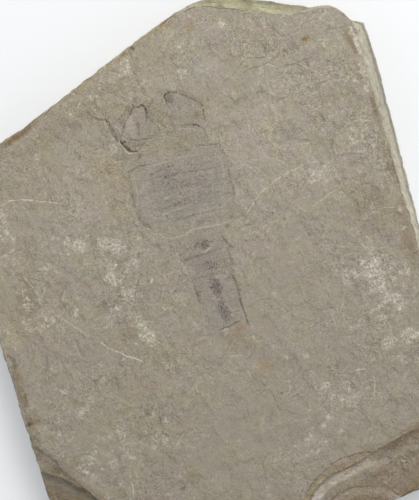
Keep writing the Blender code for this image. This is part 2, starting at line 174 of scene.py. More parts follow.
# Lines on and around the animal: (colour, strength, half width, points). Brown, olive and tan ones are soft
# stains; the others are drawn sharp by the materials. The dark ones along the body's margins are painted
# shade.
FOSSIL_LINES = [
    (PALE, 1.1, 0.35, [(0.3, 15.5), (3.0, 17.0), (5.8, 18.5)]),
    (DARK, 0.5, 0.7, [(-6.4, 89.1), (-4.9, 86.0), (-2.7, 82.4)]),
    (OLIVE, 1.0, 1.0, [(-24.0, 64.6), (-25.6, 56.9), (-26.3, 49.0), (-25.5, 41.4), (-21.4, 34.1)]),
    # the left leg base: its rim, its edges and the torn film round it
    (INK, 0.75, 0.5, [(-11.7, 96.6), (-11.4, 95.4), (-9.6, 94.8), (-8.4, 95.2)]),
    (INK, 1.0, 0.6, [(-8.4, 95.2), (-7.3, 95.4), (-6.8, 94.8), (-6.7, 93.7), (-6.8, 92.4)]),
    (DARK, 0.8, 0.5, [(-6.8, 92.4), (-6.4, 91.2), (-7.2, 90.2), (-7.2, 88.2), (-7.8, 86.9)]),
    (DARK, 0.55, 0.4, [(-6.2, 90.9), (-5.4, 87.9), (-4.1, 85.3), (-2.5, 82.2)]),
    (INK, 0.6, 0.5, [(-11.8, 95.9), (-12.6, 94.9), (-13.7, 94.0), (-15.1, 92.6)]),
    (DARK, 0.65, 0.45, [(-15.5, 92.4), (-17.4, 90.0), (-19.4, 88.0), (-20.7, 85.9), (-21.9, 83.7)]),
    (DARK, 0.7, 0.4, [(-16.4, 93.8), (-18.7, 93.3), (-21.4, 91.7)]),
    (SHADE, 1.0, 0.6, [(-15.7, 95.5), (-16.7, 93.6), (-15.8, 91.6)]),
    (DARK, 0.6, 0.4, [(-20.0, 81.4), (-16.9, 80.1), (-14.3, 79.0), (-12.6, 78.7), (-11.2, 78.8)]),
    (BROWN, 0.8, 0.8, [(-5.3, 80.1), (-7.8, 79.0), (-10.8, 78.4)]),
    (BROWN, 0.75, 1.1, [(-21.1, 98.3), (-15.3, 98.8), (-10.6, 98.6), (-5.9, 97.3), (-2.3, 95.1)]),
    (SHADE, 1.0, 0.5, [(-12.4, 76.8), (-14.4, 75.2), (-15.9, 73.9)]),
    (PALE, 0.7, 0.4, [(-4.1, 85.1), (-3.2, 84.0), (-2.3, 82.6)]),
    # the broken limb, darkest at its lower end
    (DARK, 0.55, 0.65, [(-34.1, 99.2), (-32.7, 96.8), (-30.6, 95.2), (-28.4, 94.3), (-26.6, 94.2)]),
    (DARK, 0.85, 0.55, [(-26.7, 93.6), (-26.7, 91.2), (-26.3, 89.0), (-25.9, 86.7), (-25.3, 84.1),
                        (-24.6, 81.7)]),
    (DARK, 0.55, 0.4, [(-26.1, 93.1), (-25.6, 90.9), (-25.1, 88.6), (-24.9, 86.3), (-24.2, 84.0)]),
    (INK, 1.0, 0.95, [(-23.1, 81.4), (-22.7, 79.6), (-21.9, 77.9), (-21.0, 76.1)]),
    (INK, 0.75, 0.65, [(-21.0, 76.1), (-20.0, 75.1), (-18.7, 74.7), (-17.3, 73.6)]),
    (INK, 0.7, 0.4, [(-21.5, 81.0), (-20.9, 79.1), (-20.4, 77.1), (-19.7, 75.4)]),
    (PALE, 1.0, 0.45, [(-23.4, 82.4), (-24.1, 80.9), (-23.2, 78.5), (-22.3, 76.0), (-21.0, 74.4),
                       (-18.6, 73.5), (-16.6, 73.1)]),
    (PALE, 0.8, 0.4, [(-20.8, 81.6), (-20.0, 80.8), (-20.3, 79.4)]),
    # the right leg base
    (INK, 0.95, 0.55, [(4.4, 94.0), (4.5, 96.0), (5.0, 96.9), (6.4, 97.3), (7.8, 96.9)]),
    (DARK, 0.6, 0.5, [(7.8, 96.9), (9.6, 96.5), (11.4, 95.5), (13.5, 93.8), (15.5, 92.1)]),
    (DARK, 0.5, 0.45, [(15.5, 92.1), (17.2, 90.7), (18.8, 89.1), (20.4, 87.2), (21.1, 85.6)]),
    (BROWN, 0.75, 0.7, [(3.1, 99.2), (8.6, 97.5), (13.3, 96.1), (16.0, 93.6), (18.6, 91.1), (22.0, 86.8)]),
    (DARK, 0.8, 0.4, [(21.0, 83.8), (20.6, 81.8), (20.5, 80.0)]),
    (PALE, 0.8, 0.35, [(19.6, 84.2), (21.5, 85.1)]),
    (DARK, 0.5, 0.4, [(8.0, 79.5), (11.3, 78.8), (13.8, 78.3)]),
    (INK, 0.9, 0.45, [(13.8, 78.3), (15.6, 77.6), (16.8, 76.5)]),
    (DARK, 0.5, 0.35, [(16.8, 76.5), (17.7, 75.2), (18.4, 73.8)]),
    (PALE, 0.9, 0.4, [(6.2, 78.1), (8.4, 77.9), (10.3, 77.1), (11.6, 77.1), (13.1, 76.4), (13.8, 75.5)]),
    (DARK, 0.4, 0.35, [(-5.5, 85.8), (-4.0, 84.8), (-3.3, 83.0), (-3.1, 79.7)]),
    # the head's torn rear edge and the front of the body
    (DARK, 0.65, 0.5, [(13.8, 67.3), (16.8, 66.4), (20.1, 65.9), (22.5, 65.4)]),
    (SHADE, 0.9, 0.5, [(3.4, 67.4), (6.8, 67.1), (10.0, 66.6)]),
    (SHADE, 0.8, 0.5, [(4.2, 70.2), (4.9, 68.9)]),
    (SHADE, 1.2, 0.55, [(-23.8, 65.3), (-21.2, 65.7), (-18.4, 66.5), (-15.0, 66.2)]),
    (PALE, 0.5, 0.5, [(-13.1, 64.8), (-4.8, 64.7), (3.5, 64.5), (9.8, 63.5)]),
    (TAN, 0.5, 2.2, [(-12.0, 71.6), (0.0, 73.0), (10.0, 74.4)]),
    # the body's margins: olive stains, pale rims, and dark lines that are painted shade beside the raised
    # edge
    (SHADE, 0.8, 0.45, [(21.5, 64.6), (23.1, 62.8), (24.5, 59.2)]),
    (SHADE, 0.9, 0.45, [(23.7, 52.6), (23.4, 46.5), (23.1, 40.7)]),
    (OLIVE, 0.8, 0.9, [(23.6, 49.0), (22.8, 39.2), (20.8, 32.3), (17.4, 28.0)]),
    (SHADE, 0.45, 0.5, [(-24.0, 64.1), (-25.8, 59.6), (-26.1, 53.9), (-26.0, 48.0)]),
    (OLIVE, 0.8, 1.0, [(-26.4, 44.0), (-25.1, 38.1), (-22.0, 34.9)]),
    # painted shadow along the body's lower-left edge
    (SHADE, 0.6, 0.6, [(-26.3, 42.9), (-25.1, 38.3), (-22.1, 35.4)]),
    (PALE, 0.9, 0.4, [(-25.3, 37.1), (-22.4, 34.7), (-20.0, 32.8), (-18.3, 30.7)]),
    (PALE, 0.75, 0.4, [(-18.3, 30.7), (-16.7, 28.6), (-14.1, 27.2), (-9.1, 27.0), (-5.0, 27.3)]),
    (PALE, 0.85, 0.4, [(-5.0, 27.3), (-2.2, 28.4), (2.7, 27.9), (7.6, 27.2), (11.4, 26.5), (16.5, 26.8)]),
    # painted shadow under the pale rear rim
    (SHADE, 0.7, 0.4, [(-4.0, 26.5), (-0.2, 26.9), (4.6, 26.2)]),
    # the bands across the body
    (PALE, 0.45, 0.5, [(21.7, 58.7), (22.0, 54.5), (21.1, 49.7), (20.0, 44.2)]),
    (PALE, 0.4, 0.5, [(-22.4, 61.9), (-22.7, 56.2), (-23.7, 50.6)]),
    (SHADE, 0.6, 0.5, [(-14.0, 60.9), (-14.1, 55.1), (-15.1, 48.7), (-14.9, 42.8)]),
    (SHADE, 0.6, 0.5, [(-13.6, 60.6), (-9.9, 61.7), (-3.2, 61.8), (3.9, 60.6)]),
    (SHADE, 0.5, 0.5, [(16.7, 56.2), (17.8, 53.3), (17.1, 48.5)]),
    (SHADE, 0.35, 0.6, [(-7.2, 57.1), (-0.6, 57.0), (6.7, 56.4), (15.2, 54.1)]),
    (SHADE, 0.35, 0.6, [(-14.2, 53.5), (-5.9, 53.3), (2.1, 52.4), (12.2, 49.9)]),
    (PALE, 0.5, 0.5, [(-10.5, 46.9), (-6.0, 47.9), (-1.6, 48.5), (4.0, 47.8)]),
    (OLIVE, 0.9, 0.7, [(-1.0, 42.6), (2.6, 43.5), (8.4, 43.3), (16.2, 41.6), (22.3, 39.8)]),
    (SHADE, 0.7, 0.6, [(-7.4, 43.4), (-3.3, 43.3), (0.2, 43.9)]),
    (SHADE, 0.6, 0.5, [(-14.7, 43.6), (-12.0, 42.1), (-7.9, 43.1)]),
    (PALE, 0.45, 0.5, [(-14.4, 40.0), (-8.4, 40.3), (-0.9, 40.2)]),
    (SHADE, 0.7, 0.5, [(-10.4, 35.2), (-4.2, 35.1), (1.7, 35.2)]),
    # the tail: its seams, its edges and its broken end
    (OLIVE, 2.0, 0.8, [(-10.5, 14.7), (-5.3, 14.9), (-0.3, 14.9), (4.4, 15.2), (8.9, 15.2)]),
    (DARK, 0.35, 0.4, [(-10.2, 14.7), (-5.3, 15.0), (-0.2, 15.0), (4.4, 15.3)]),
    (PALE, 0.85, 0.35, [(-0.6, 15.6), (0.8, 16.1), (2.4, 16.9), (3.8, 17.6), (5.5, 18.3)]),
    (OLIVE, 0.8, 1.2, [(-8.8, 4.1), (-3.3, 3.7), (1.2, 3.5), (6.2, 3.1)]),
    (SHADE, 0.6, 0.5, [(-4.8, 4.0), (-1.4, 4.2), (1.3, 3.9)]),
    (SHADE, 0.5, 0.5, [(-11.5, 4.4), (-9.8, 3.5)]),
    (SHADE, 0.35, 0.5, [(-9.9, -8.3), (-4.3, -8.6), (3.8, -11.5), (8.2, -11.8)]),
    (DARK, 0.7, 0.9, [(11.4, 19.5), (12.2, 17.5), (13.4, 14.8)]),
    (DARK, 0.35, 0.8, [(11.4, 12.1), (11.4, 8.7), (11.3, 5.4)]),
    (DARK, 0.55, 0.8, [(9.7, 0.2), (10.4, -2.3), (10.8, -3.6)]),
    (INK, 0.42, 0.8, [(10.3, -2.5), (10.6, -5.2), (10.4, -7.9), (10.1, -10.2)]),
    (DARK, 0.7, 0.75, [(10.1, -10.2), (9.6, -13.1), (9.7, -16.2)]),
    (INK, 0.5, 0.7, [(9.7, -16.2), (10.1, -20.2), (9.8, -24.6)]),
    (DARK, 0.4, 0.7, [(-9.9, 0.8), (-9.9, -1.5), (-9.9, -3.8)]),
    (SHADE, 0.7, 0.5, [(-9.9, -3.8), (-10.2, -6.5), (-9.4, -8.4)]),
    (SHADE, 0.5, 0.5, [(-7.9, -12.3), (-8.5, -16.6), (-8.9, -19.9)]),
    (DARK, 0.7, 0.5, [(-3.4, -23.4), (-1.1, -23.3), (0.7, -23.5), (4.8, -22.6)]),
]
# Patches on and around the animal: (colour, strength, x, y, radius across, radius along, turn in degrees).
FOSSIL_PATCHES = [
    (GREY, 1.5, 9.7, 9.8, 2.8, 13.0, 0), (GREY, 0.8, 0.0, 48.0, 25.0, 20.0, 0),
    ((0.975, 1.0, 1.0), 0.9, 13.0, 36.9, 7.0, 3.4, -12), ((0.975, 1.0, 1.0), 0.8, -21.0, 58.5, 4.0, 5.0, 0),
    (PALE, 0.2, -21.0, 58.5, 5.0, 8.0, 0), ((0.98, 0.99, 0.93), 0.9, -4.5, 31.6, 6.0, 3.6, 10),
    (GREY, 0.7, 1.0, 0.0, 10.5, 24.0, 0), (GREY, 0.4, 12.5, 87.5, 7.5, 9.5, 30),
    (GREY, 0.6, -12.5, 85.0, 7.0, 9.5, 8), (ROSE, 1.3, -16.1, 87.4, 2.8, 7.0, -10),
    (ROSE, 0.5, -9.8, 85.0, 2.4, 6.4, -30), (SHADE, 0.7, -12.6, 85.5, 1.1, 5.6, -10),
    (DARK, 0.42, -14.3, 95.3, 1.7, 2.6, 20), (DARK, 0.42, -5.6, 92.7, 1.4, 2.8, -35),
    (OLIVE, 1.0, -17.1, 77.0, 5.0, 2.4, -10), (OLIVE, 0.4, 4.0, 86.0, 30.0, 11.0, 0),
    (PURPLE, 0.5, -19.1, 90.8, 2.6, 1.5, 10), (DARK, 0.35, -21.3, 80.0, 1.6, 1.2, 0),
    (PALE, 0.4, -9.2, 92.0, 2.4, 3.0, 0), (TAN, 0.6, -14.5, 76.4, 4.4, 1.5, -14),
    (TAN, 0.3, 0.6, 87.0, 3.6, 7.0, 10), (DARK, 0.25, 5.3, 93.8, 1.4, 1.7, 0),
    (PURPLE, 0.75, 6.7, 94.2, 2.2, 2.8, 0), (BROWN, 0.8, 17.4, 82.4, 1.7, 2.2, 0),
    (ORANGE, 0.5, 20.8, 85.2, 1.4, 1.0, 0), (ORANGE, 0.3, 12.9, 81.1, 4.0, 1.4, -10),
    (PALE, 0.45, 25.0, 81.0, 3.0, 4.4, 0), (TAN, 0.3, -30.0, 66.0, 5.0, 12.0, 20),
    (TAN, 0.5, 6.0, 71.0, 11.0, 3.0, 5), (TAN, 0.55, -18.6, 70.6, 4.0, 2.2, 40),
    (DARK, 0.5, -16.6, 71.0, 1.6, 0.8, 20), (SHADE, 0.2, -6.5, 54.0, 8.0, 9.0, 15),
    (SHADE, 0.15, -3.0, 43.0, 9.0, 4.0, 10), (SHADE, 0.12, 8.0, 53.0, 10.0, 4.0, 0),
    (PALE, 0.25, 10.0, 36.0, 9.0, 4.0, 0), (SHADE, 0.6, 2.4, 30.8, 3.0, 1.6, 0),
    (PURPLE, 0.7, 1.3, 19.0, 2.2, 2.6, 0), (PURPLE, 0.4, -1.1, 21.2, 3.4, 3.4, 0),
    (GREY, 0.9, -11.1, 19.8, 5.0, 4.6, 0), (PURPLE, 0.4, 1.4, 7.7, 2.2, 2.0, 0),
    (PURPLE, 0.25, -1.9, 9.6, 5.0, 3.0, 0), (PALE, 0.3, 10.0, 11.4, 1.6, 6.0, 0),
    (PURPLE, 0.9, 0.2, -2.4, 3.0, 4.2, 5), (PURPLE, 0.6, 0.3, -8.1, 2.6, 3.0, 0),
    (DARK, 0.15, 1.2, -1.0, 2.0, 1.6, 10), (PURPLE, 0.7, -0.4, -15.8, 2.2, 5.4, 5),
    (PURPLE, 0.45, 2.3, -18.9, 1.6, 4.0, 5), (WHITE, 0.8, 0.1, -8.6, 0.6, 0.6, 0),
    (DARK, 0.55, 14.9, 24.8, 1.1, 1.1, 0), (DARK, 0.4, 10.0, 5.8, 1.6, 0.7, 0),
    (DARK, 0.35, 7.1, -0.1, 1.5, 0.8, 0), (GREY, 0.9, -5.5, -17.6, 3.4, 6.0, 0),
    (PALE, 0.25, 7.5, -7.0, 1.6, 5.0, 0), (ORANGE, 0.3, 6.9, 4.6, 2.0, 1.5, 0),
    (TAN, 0.4, -6.0, 22.0, 3.0, 1.6, 0), (TAN, 0.35, 7.0, 10.0, 2.8, 5.0, 0),
    (TAN, 0.3, -6.4, -1.6, 2.4, 4.0, 0), (TAN, 0.25, 6.6, -14.0, 2.4, 6.0, 0),
    (PURPLE, 0.2, -5.0, 8.6, 2.6, 3.0, 0), (SHADE, 0.8, -9.0, -3.0, 1.2, 1.6, 0),
    (ORANGE, 0.45, 5.0, -25.6, 4.6, 1.8, 5), (BROWN, 0.35, 0.0, -28.6, 7.6, 4.4, 10),
    (BROWN, 0.2, 2.6, -34.0, 6.0, 5.0, 0), (ROSE, 0.25, 10.5, 88.0, 4.6, 6.5, 30),
]
# Where the stone is smoother or rougher than elsewhere: (share of its usual grain, x, y, radii, turn).
WEATHERING = [
    (0.68, 26.3, -17.7, 25.0, 40.0, -18), (0.74, -13.6, -39.1, 22.5, 22.5, -18),
    (0.62, -13.1, -83.9, 35.0, 30.0, -18), (0.62, -83.0, -64.3, 16.0, 22.5, -18),
    (0.66, -101.0, -13.9, 8.0, 18.0, -18), (0.68, -96.9, 32.0, 8.0, 27.5, -18),
    (0.72, 31.1, 96.2, 11.0, 15.0, -18), (0.72, 42.9, 75.6, 13.0, 7.0, -18),
    (0.75, 61.3, 26.2, 10.0, 8.0, -18), (0.75, 30.4, -87.2, 20.0, 15.0, -18),
    (1.35, 77.3, 68.4, 29.0, 26.0, -18), (1.3, 60.6, 106.7, 24.0, 10.0, -18),
    (1.25, -1.3, 118.0, 12.0, 7.5, -18), (1.2, 6.5, 76.7, 25.0, 12.0, -18),
    (1.03, -37.7, 69.8, 15.0, 16.0, -18), (1.5, -44.5, -54.0, 12.0, 21.0, -18),
    (1.35, -42.8, 17.4, 13.0, 24.0, -18), (1.25, 81.6, -3.8, 13.0, 55.0, -18),
    (1.2, -95.9, -47.1, 7.0, 15.0, -18), (1.15, 60.0, -109.8, 13.0, 17.0, -18),
]
# Scratches, cracks and the edges of spalled laminae on the stone: (strength, points). Over 0 they are pale,
# under 0 dark.
SCRATCHES = [
    (1.0, [(-63.2, -11.7), (-59.3, -16.3), (-55.6, -19.4), (-52.5, -22.1), (-49.1, -24.2), (-46.5, -26.4)]),
    (1.0, [(-91.0, 68.0), (-85.4, 69.8), (-78.2, 68.2), (-61.9, 61.2)]),
    (0.6, [(-77.7, 4.9), (-70.4, -3.2)]), (0.6, [(-89.5, 30.7), (-85.7, 21.1)]),
    (0.5, [(-53.2, 2.8), (-55.5, -5.9)]), (0.55, [(26.8, 28.3), (35.4, 35.5), (49.1, 40.6), (60.1, 42.4)]),
    (0.6, [(58.6, 21.3), (68.6, 24.5), (72.7, 25.5), (75.9, 26.8), (75.4, 31.2), (74.7, 33.3)]),
    (0.7, [(74.7, 33.3), (76.0, 28.7)]), (0.5, [(52.6, 94.6), (58.7, 95.8), (64.2, 91.4)]),
    (0.6, [(74.1, 91.4), (80.4, 84.7)]), (0.5, [(67.5, 113.5), (71.2, 108.6)]),
    (0.4, [(56.2, 120.7), (59.0, 114.6)]), (0.45, [(25.8, 18.6), (30.6, 15.5), (34.7, 16.9)]),
    (0.4, [(27.9, -22.4), (31.1, -25.6)]), (0.9, [(54.5, -63.5), (59.6, -64.4)]),
    (0.6, [(47.1, -66.8), (49.3, -68.2), (47.9, -71.5)]),
    (0.6, [(62.0, -69.7), (60.4, -74.9), (59.0, -78.2)]), (0.6, [(69.6, -38.3), (86.1, -32.6)]),
    (0.7, [(-69.1, -78.7), (-70.2, -88.4)]), (0.5, [(-85.2, -13.4), (-86.1, -18.4)]),
    (0.6, [(-90.5, -27.1), (-86.7, -31.0)]), (0.5, [(-3.6, -37.4), (2.7, -39.4)]),
    (0.5, [(20.5, -59.0), (19.6, -63.8), (15.1, -64.2)]), (0.6, [(-7.6, 104.3), (-3.7, 105.7)]),
    (0.6, [(-17.8, 116.3), (-13.1, 112.4), (-7.8, 114.4), (-8.4, 117.2)]),
    (0.6, [(89.1, 53.6), (90.6, 55.4), (94.3, 55.4), (98.4, 53.4)]), (0.6, [(87.0, 48.6), (88.5, 44.4)]),
    (0.6, [(91.2, 10.3), (96.8, 8.7)]), (0.6, [(84.8, 9.0), (89.4, 9.0)]),
    (0.5, [(79.4, -0.5), (80.8, -4.6)]), (0.5, [(85.1, 109.2), (89.4, 109.2), (93.5, 111.3)]),
    (-0.43, [(6.1, -50.6), (8.9, -57.8), (11.1, -63.0), (11.5, -69.4)]),
    (-0.25, [(14.8, -69.2), (17.0, -76.2)]), (-0.31, [(-92.5, 44.2), (-87.6, 44.8)]),
    (-0.31, [(-60.4, 51.3), (-56.9, 50.7), (-51.7, 53.8)]), (-0.28, [(-46.1, 39.9), (-38.8, 35.0)]),
    (-0.37, [(83.1, 27.4), (85.3, 24.4), (88.4, 23.4)]), (-0.25, [(40.9, -11.4), (46.2, -16.2)]),
    (-0.25, [(41.3, -24.1), (45.7, -29.2)]), (-0.25, [(11.7, 106.2), (15.3, 102.8)]),
    (-0.31, [(-14.6, 105.5), (-8.7, 103.1)]), (-0.25, [(-43.7, 110.4), (-40.7, 107.5), (-38.9, 104.8)]),
    (-0.25, [(-54.3, 106.6), (-51.7, 104.3)]), (-0.25, [(-107.0, -4.4), (-106.6, -9.2)]),
    (-0.25, [(-107.2, -25.8), (-107.2, -31.1)]), (-0.31, [(92.6, 105.5), (95.9, 102.3), (98.5, 102.3)]),
    (-0.25, [(70.5, 11.2), (80.7, 6.6), (83.8, 6.0)]),
    (-0.28, [(-38.9, 18.2), (-33.3, 24.3), (-28.4, 24.9)]),
    (-0.31, [(21.6, 1.6), (23.6, 5.2), (28.2, 3.7), (28.6, -0.6)]),
    (0.35, [(-82.2, 30.4), (-81.4, 21.3), (-86.1, 18.1)]), (-0.31, [(-86.1, 18.1), (-94.9, 10.3)]),
    (-0.6, [(13.2, -113.3), (21.2, -107.9), (29.2, -104.2), (35.9, -103.2), (42.0, -103.5), (48.0, -104.6)]),
    (0.7, [(76.0, -104.0), (79.5, -106.5), (81.0, -110.5)]), (0.8, [(86.6, -106.8), (90.0, -109.6)]),
    (0.7, [(93.5, -98.6), (96.2, -96.0), (97.4, -92.4)]),
    (0.6, [(62.6, -113.4), (66.0, -115.0), (65.4, -118.0)]),
]
# Bruised stone, flecked with white: (strength, x, y, radius across, radius along, turn in degrees).
BRUISES = [
    (0.8, -60.5, 37.8, 6.5, 7.5, -10), (1.3, -43.7, 33.7, 4.6, 7.4, 25), (1.2, -48.1, 16.6, 5.6, 5.6, 0),
    (1.15, -36.6, 21.3, 2.0, 6.4, -50), (1.1, -42.6, 6.5, 3.6, 5.0, 40), (1.3, -39.7, -14.7, 3.6, 8.4, 12),
    (1.1, -49.2, 2.4, 3.6, 1.2, 0), (1.0, -29.4, 10.7, 0.9, 2.6, -18), (1.2, -69.9, 6.8, 1.1, 4.0, -16),
    (0.9, -55.3, 44.5, 2.0, 2.4, 0), (0.6, -77.5, 30.5, 5.5, 4.5, 0), (0.55, 75.6, -19.3, 13.0, 19.0, -30),
    (0.95, 79.5, -13.7, 6.0, 9.0, -18), (0.95, 79.4, -24.2, 4.2, 7.0, -10),
    (1.15, 75.5, -36.3, 1.3, 7.6, -71), (1.0, 85.9, -36.8, 5.0, 4.6, 0), (0.85, 75.3, -42.3, 1.6, 6.0, 72),
    (0.95, 84.4, -54.1, 6.0, 6.0, 0), (0.95, 73.2, -55.0, 5.0, 4.0, 0), (0.85, 77.5, -63.2, 5.0, 2.4, -10),
    (1.3, 104.2, 92.0, 1.3, 11.0, 3), (1.0, 102.9, 75.0, 1.8, 9.0, 0), (0.8, 88.2, 46.5, 3.4, 6.6, 0),
    (0.7, 97.5, 27.8, 2.6, 6.6, 0), (0.8, -79.5, -40.2, 7.5, 2.6, 38), (1.15, -9.6, 116.2, 3.0, 4.4, 30),
    (1.1, 19.5, 118.3, 2.8, 2.6, 0), (0.8, 42.6, 122.3, 1.6, 4.4, -10), (1.05, 16.2, 104.9, 1.8, 3.4, 20),
    (1.1, -4.3, 105.1, 1.0, 4.4, -55), (0.45, -33.4, 22.3, 8.0, 7.0, 40), (0.5, -95.0, 60.0, 11.0, 22.0, 0),
    (0.25, 60.0, 88.0, 14.0, 10.0, -30), (0.5, -90.0, 12.0, 12.0, 14.0, 0),
    (0.5, 88.0, -32.0, 12.0, 10.0, 0), (0.3, 90.0, 8.0, 10.0, 9.0, 0), (0.45, 45.0, -75.0, 16.0, 12.0, 0),
    (0.45, -60.0, -62.0, 14.0, 14.0, 0), (0.5, 93.0, 100.0, 9.0, 12.0, 0),
    (0.5, -25.0, 112.0, 16.0, 7.0, 18), (0.5, 68.0, 40.0, 11.0, 11.0, 0), (0.6, -27.0, 77.0, 4.0, 4.0, 0),
    (0.5, -86.0, -68.0, 12.0, 9.0, 30), (0.45, 20.0, -92.0, 18.0, 8.0, 0),
    (0.6, 88.0, -90.0, 14.0, 5.0, 18),
]
# Chalky specks and chips, as (x, y, radius).
CHIPS = [
    (26.4, -75.5, 0.9), (28.3, -51.4, 1.0), (32.6, -49.0, 1.8), (42.0, -78.2, 0.8), (36.7, -79.9, 0.8),
    (26.5, -84.0, 0.7), (96.7, 40.7, 1.0), (93.1, 47.1, 1.0), (86.0, 30.6, 0.9), (78.4, 27.2, 0.8),
    (97.5, 74.5, 1.0), (90.9, 71.4, 0.8), (88.9, 68.0, 0.8), (89.2, 86.6, 0.7), (99.9, 6.6, 1.4),
    (-49.4, -54.5, 2.0), (-43.8, -58.4, 1.8), (-45.8, -67.7, 1.6), (-41.7, -71.4, 1.3), (-53.6, -69.4, 1.4),
    (-96.9, -48.8, 1.3), (-91.7, -52.8, 0.7), (-27.1, 101.8, 0.7), (-38.1, 111.3, 0.8), (-19.5, 119.4, 0.9),
    (15.4, 103.0, 0.8), (-12.7, 113.3, 0.7), (77.6, -64.5, 1.2), (73.7, -57.0, 1.2), (-63.4, -44.0, 0.9),
]
# Dark pits and mineral spots, as (x, y, radius).
PITS = [
    (50.2, 83.8, 0.7), (38.5, 24.0, 0.8), (53.0, 8.4, 1.0), (53.8, 2.9, 0.7), (56.8, 4.0, 0.7),
    (45.3, 0.9, 0.6), (-45.7, -93.5, 1.0), (-3.7, 123.8, 1.3), (-109.6, -39.7, 1.2), (15.4, -63.0, 0.8),
    (-12.5, 38.4, 0.6), (0.3, 35.4, 0.6), (14.3, 35.8, 0.7), (-3.1, 54.7, 0.6), (-7.2, 57.6, 0.7),
    (-13.3, 60.8, 0.6), (-6.6, 42.4, 0.7), (38.3, -69.7, 0.6), (-70.4, 3.1, 0.6), (24.8, 88.0, 0.6),
]
# Mineral stains, and one painted shade: (colour, strength, x, y, radius across, radius along, turn in
# degrees).
STAINS_AND_PAINTED_SHADE = [
    (BROWN, 0.3, 14.0, -46.4, 6.5, 8.5, 20), (ORANGE, 0.45, 11.1, -48.0, 3.4, 3.6, 0),
    (BROWN, 0.5, -40.2, -90.0, 5.0, 5.0, 0), (ORANGE, 0.4, -46.0, -40.4, 2.0, 2.0, 0),
    (BROWN, 1.6, 80.2, 102.1, 2.2, 2.0, 0), (ORANGE, 1.0, 80.2, 102.1, 1.6, 1.4, 0),
    (TAN, 0.7, 16.4, 129.2, 5.0, 1.6, 18), (TAN, 0.6, 26.7, 126.0, 3.4, 2.4, 18),
    (TAN, 0.6, 5.5, 127.9, 2.4, 1.6, 18), (TAN, 0.6, -9.8, 122.0, 2.4, 1.6, 18),
    (BROWN, 1.1, -71.0, 99.6, 9.0, 2.0, 17), (PALE, 0.4, -106.1, 6.6, 5.0, 11.0, 0),
    (TAN, 0.35, -104.0, 6.6, 5.0, 11.0, 0), (BROWN, 0.75, 99.4, -9.0, 3.2, 12.0, 0),
    (BROWN, 0.55, 96.4, -12.0, 5.0, 5.0, 0), (BROWN, 0.6, 101.4, 6.0, 2.0, 8.0, 0),
    (BROWN, 1.2, 101.7, 93.6, 1.6, 9.0, 9), (SHADE, 0.6, 102.0, 102.0, 1.3, 4.0, 4),
    (BROWN, 0.6, 100.8, 78.0, 1.2, 7.0, 0), (BROWN, 1.0, 103.2, 60.0, 1.7, 12.0, -3),
    (BROWN, 0.8, 101.9, 30.0, 1.8, 14.0, 2), (SHADE, 0.5, 103.0, 62.0, 0.9, 8.0, -3),
    (TAN, 0.35, 40.0, -112.0, 26.0, 4.0, 14), (TAN, 0.35, 84.0, -95.0, 22.0, 3.0, 18),
    (TAN, 0.25, -20.0, 108.0, 40.0, 12.0, 18), (TAN, 0.2, -70.0, 75.0, 34.0, 20.0, 0),
    (PURPLE, 0.35, -80.0, -42.0, 5.5, 1.6, 38), (TAN, 0.3, -36.0, 60.0, 9.0, 26.0, 0),
    (BROWN, 1.0, -108.6, -20.0, 2.6, 12.0, -3), (BROWN, 0.9, -107.4, -38.0, 4.4, 5.0, 10),
    (SHADE, 0.5, -109.4, -42.0, 2.4, 22.0, 1), (PALE, 0.8, -104.8, -31.6, 1.6, 3.0, 30),
    (PALE, 0.6, -103.0, -36.6, 1.4, 1.6, 0),
    # broad darker, browner and paler areas, one of them painted shade
    (OLIVE, 0.8, -43.0, 100.0, 38.0, 7.0, 20), (OLIVE, 0.4, 6.0, 88.0, 34.0, 9.0, 0),
    (SHADE, 0.6, -24.0, 75.0, 6.0, 3.4, -30), (MAUVE, 0.2, 50.0, 58.0, 24.0, 26.0, 0),
    (MAUVE, 0.2, -52.0, 60.0, 13.0, 25.0, 0), (BROWN, 0.4, 87.0, 13.0, 13.0, 19.0, 0),
    (BROWN, 0.6, -92.0, 18.0, 5.0, 16.0, -8), (TAN, 0.2, -91.0, 25.0, 18.0, 38.0, 0),
    (TAN, 0.15, -55.0, -50.0, 35.0, 38.0, 0), (BROWN, 0.9, 64.0, -131.0, 9.0, 5.0, 15),
    # the SHADE patch at 77, 121 is painted shade over the broken top-right corner
    (BROWN, 0.6, 48.0, -109.0, 7.0, 2.4, 8), (SHADE, 1.0, 77.0, 121.0, 12.0, 4.0, -27),
    (OLIVE, 1.0, -97.0, -67.0, 14.0, 4.0, -18), (BROWN, 0.3, 6.0, -31.0, 5.0, 10.0, 0),
    # small brown, rusty and blue-green stains
    (BROWN, 0.55, -50.6, 36.8, 2.4, 1.8, 0), (BROWN, 0.6, -43.1, 23.2, 4.0, 2.2, 0),
    (BROWN, 0.5, -49.1, 4.2, 4.6, 3.4, 20), (BROWN, 0.45, -49.6, -12.5, 4.6, 6.0, 0),
    (BROWN, 0.4, -44.5, 11.1, 2.6, 2.0, 0), (ORANGE, 0.5, 13.3, 130.6, 4.6, 1.8, 0),
    (ORANGE, 0.55, 27.2, 124.9, 2.2, 3.0, -10), (ORANGE, 0.3, 22.8, 133.4, 5.0, 1.4, 15),
    (DARK, 0.8, -3.2, 123.8, 1.3, 1.1, 0), (TEAL, 1.0, 25.8, 104.3, 8.0, 6.0, 0),
    (TEAL, 1.0, 8.8, 100.9, 6.0, 3.0, 0), (PALE, 0.8, -8.1, 118.1, 4.0, 3.4, 0),
    (PALE, 0.7, 15.0, 124.9, 3.6, 3.0, 0), (PALE, 0.7, 8.9, 100.6, 3.4, 3.0, 0),
    (PALE, 0.6, -22.7, 103.8, 3.0, 3.0, 0), (PALE, 0.6, 30.0, 104.4, 7.0, 4.0, 0),
]
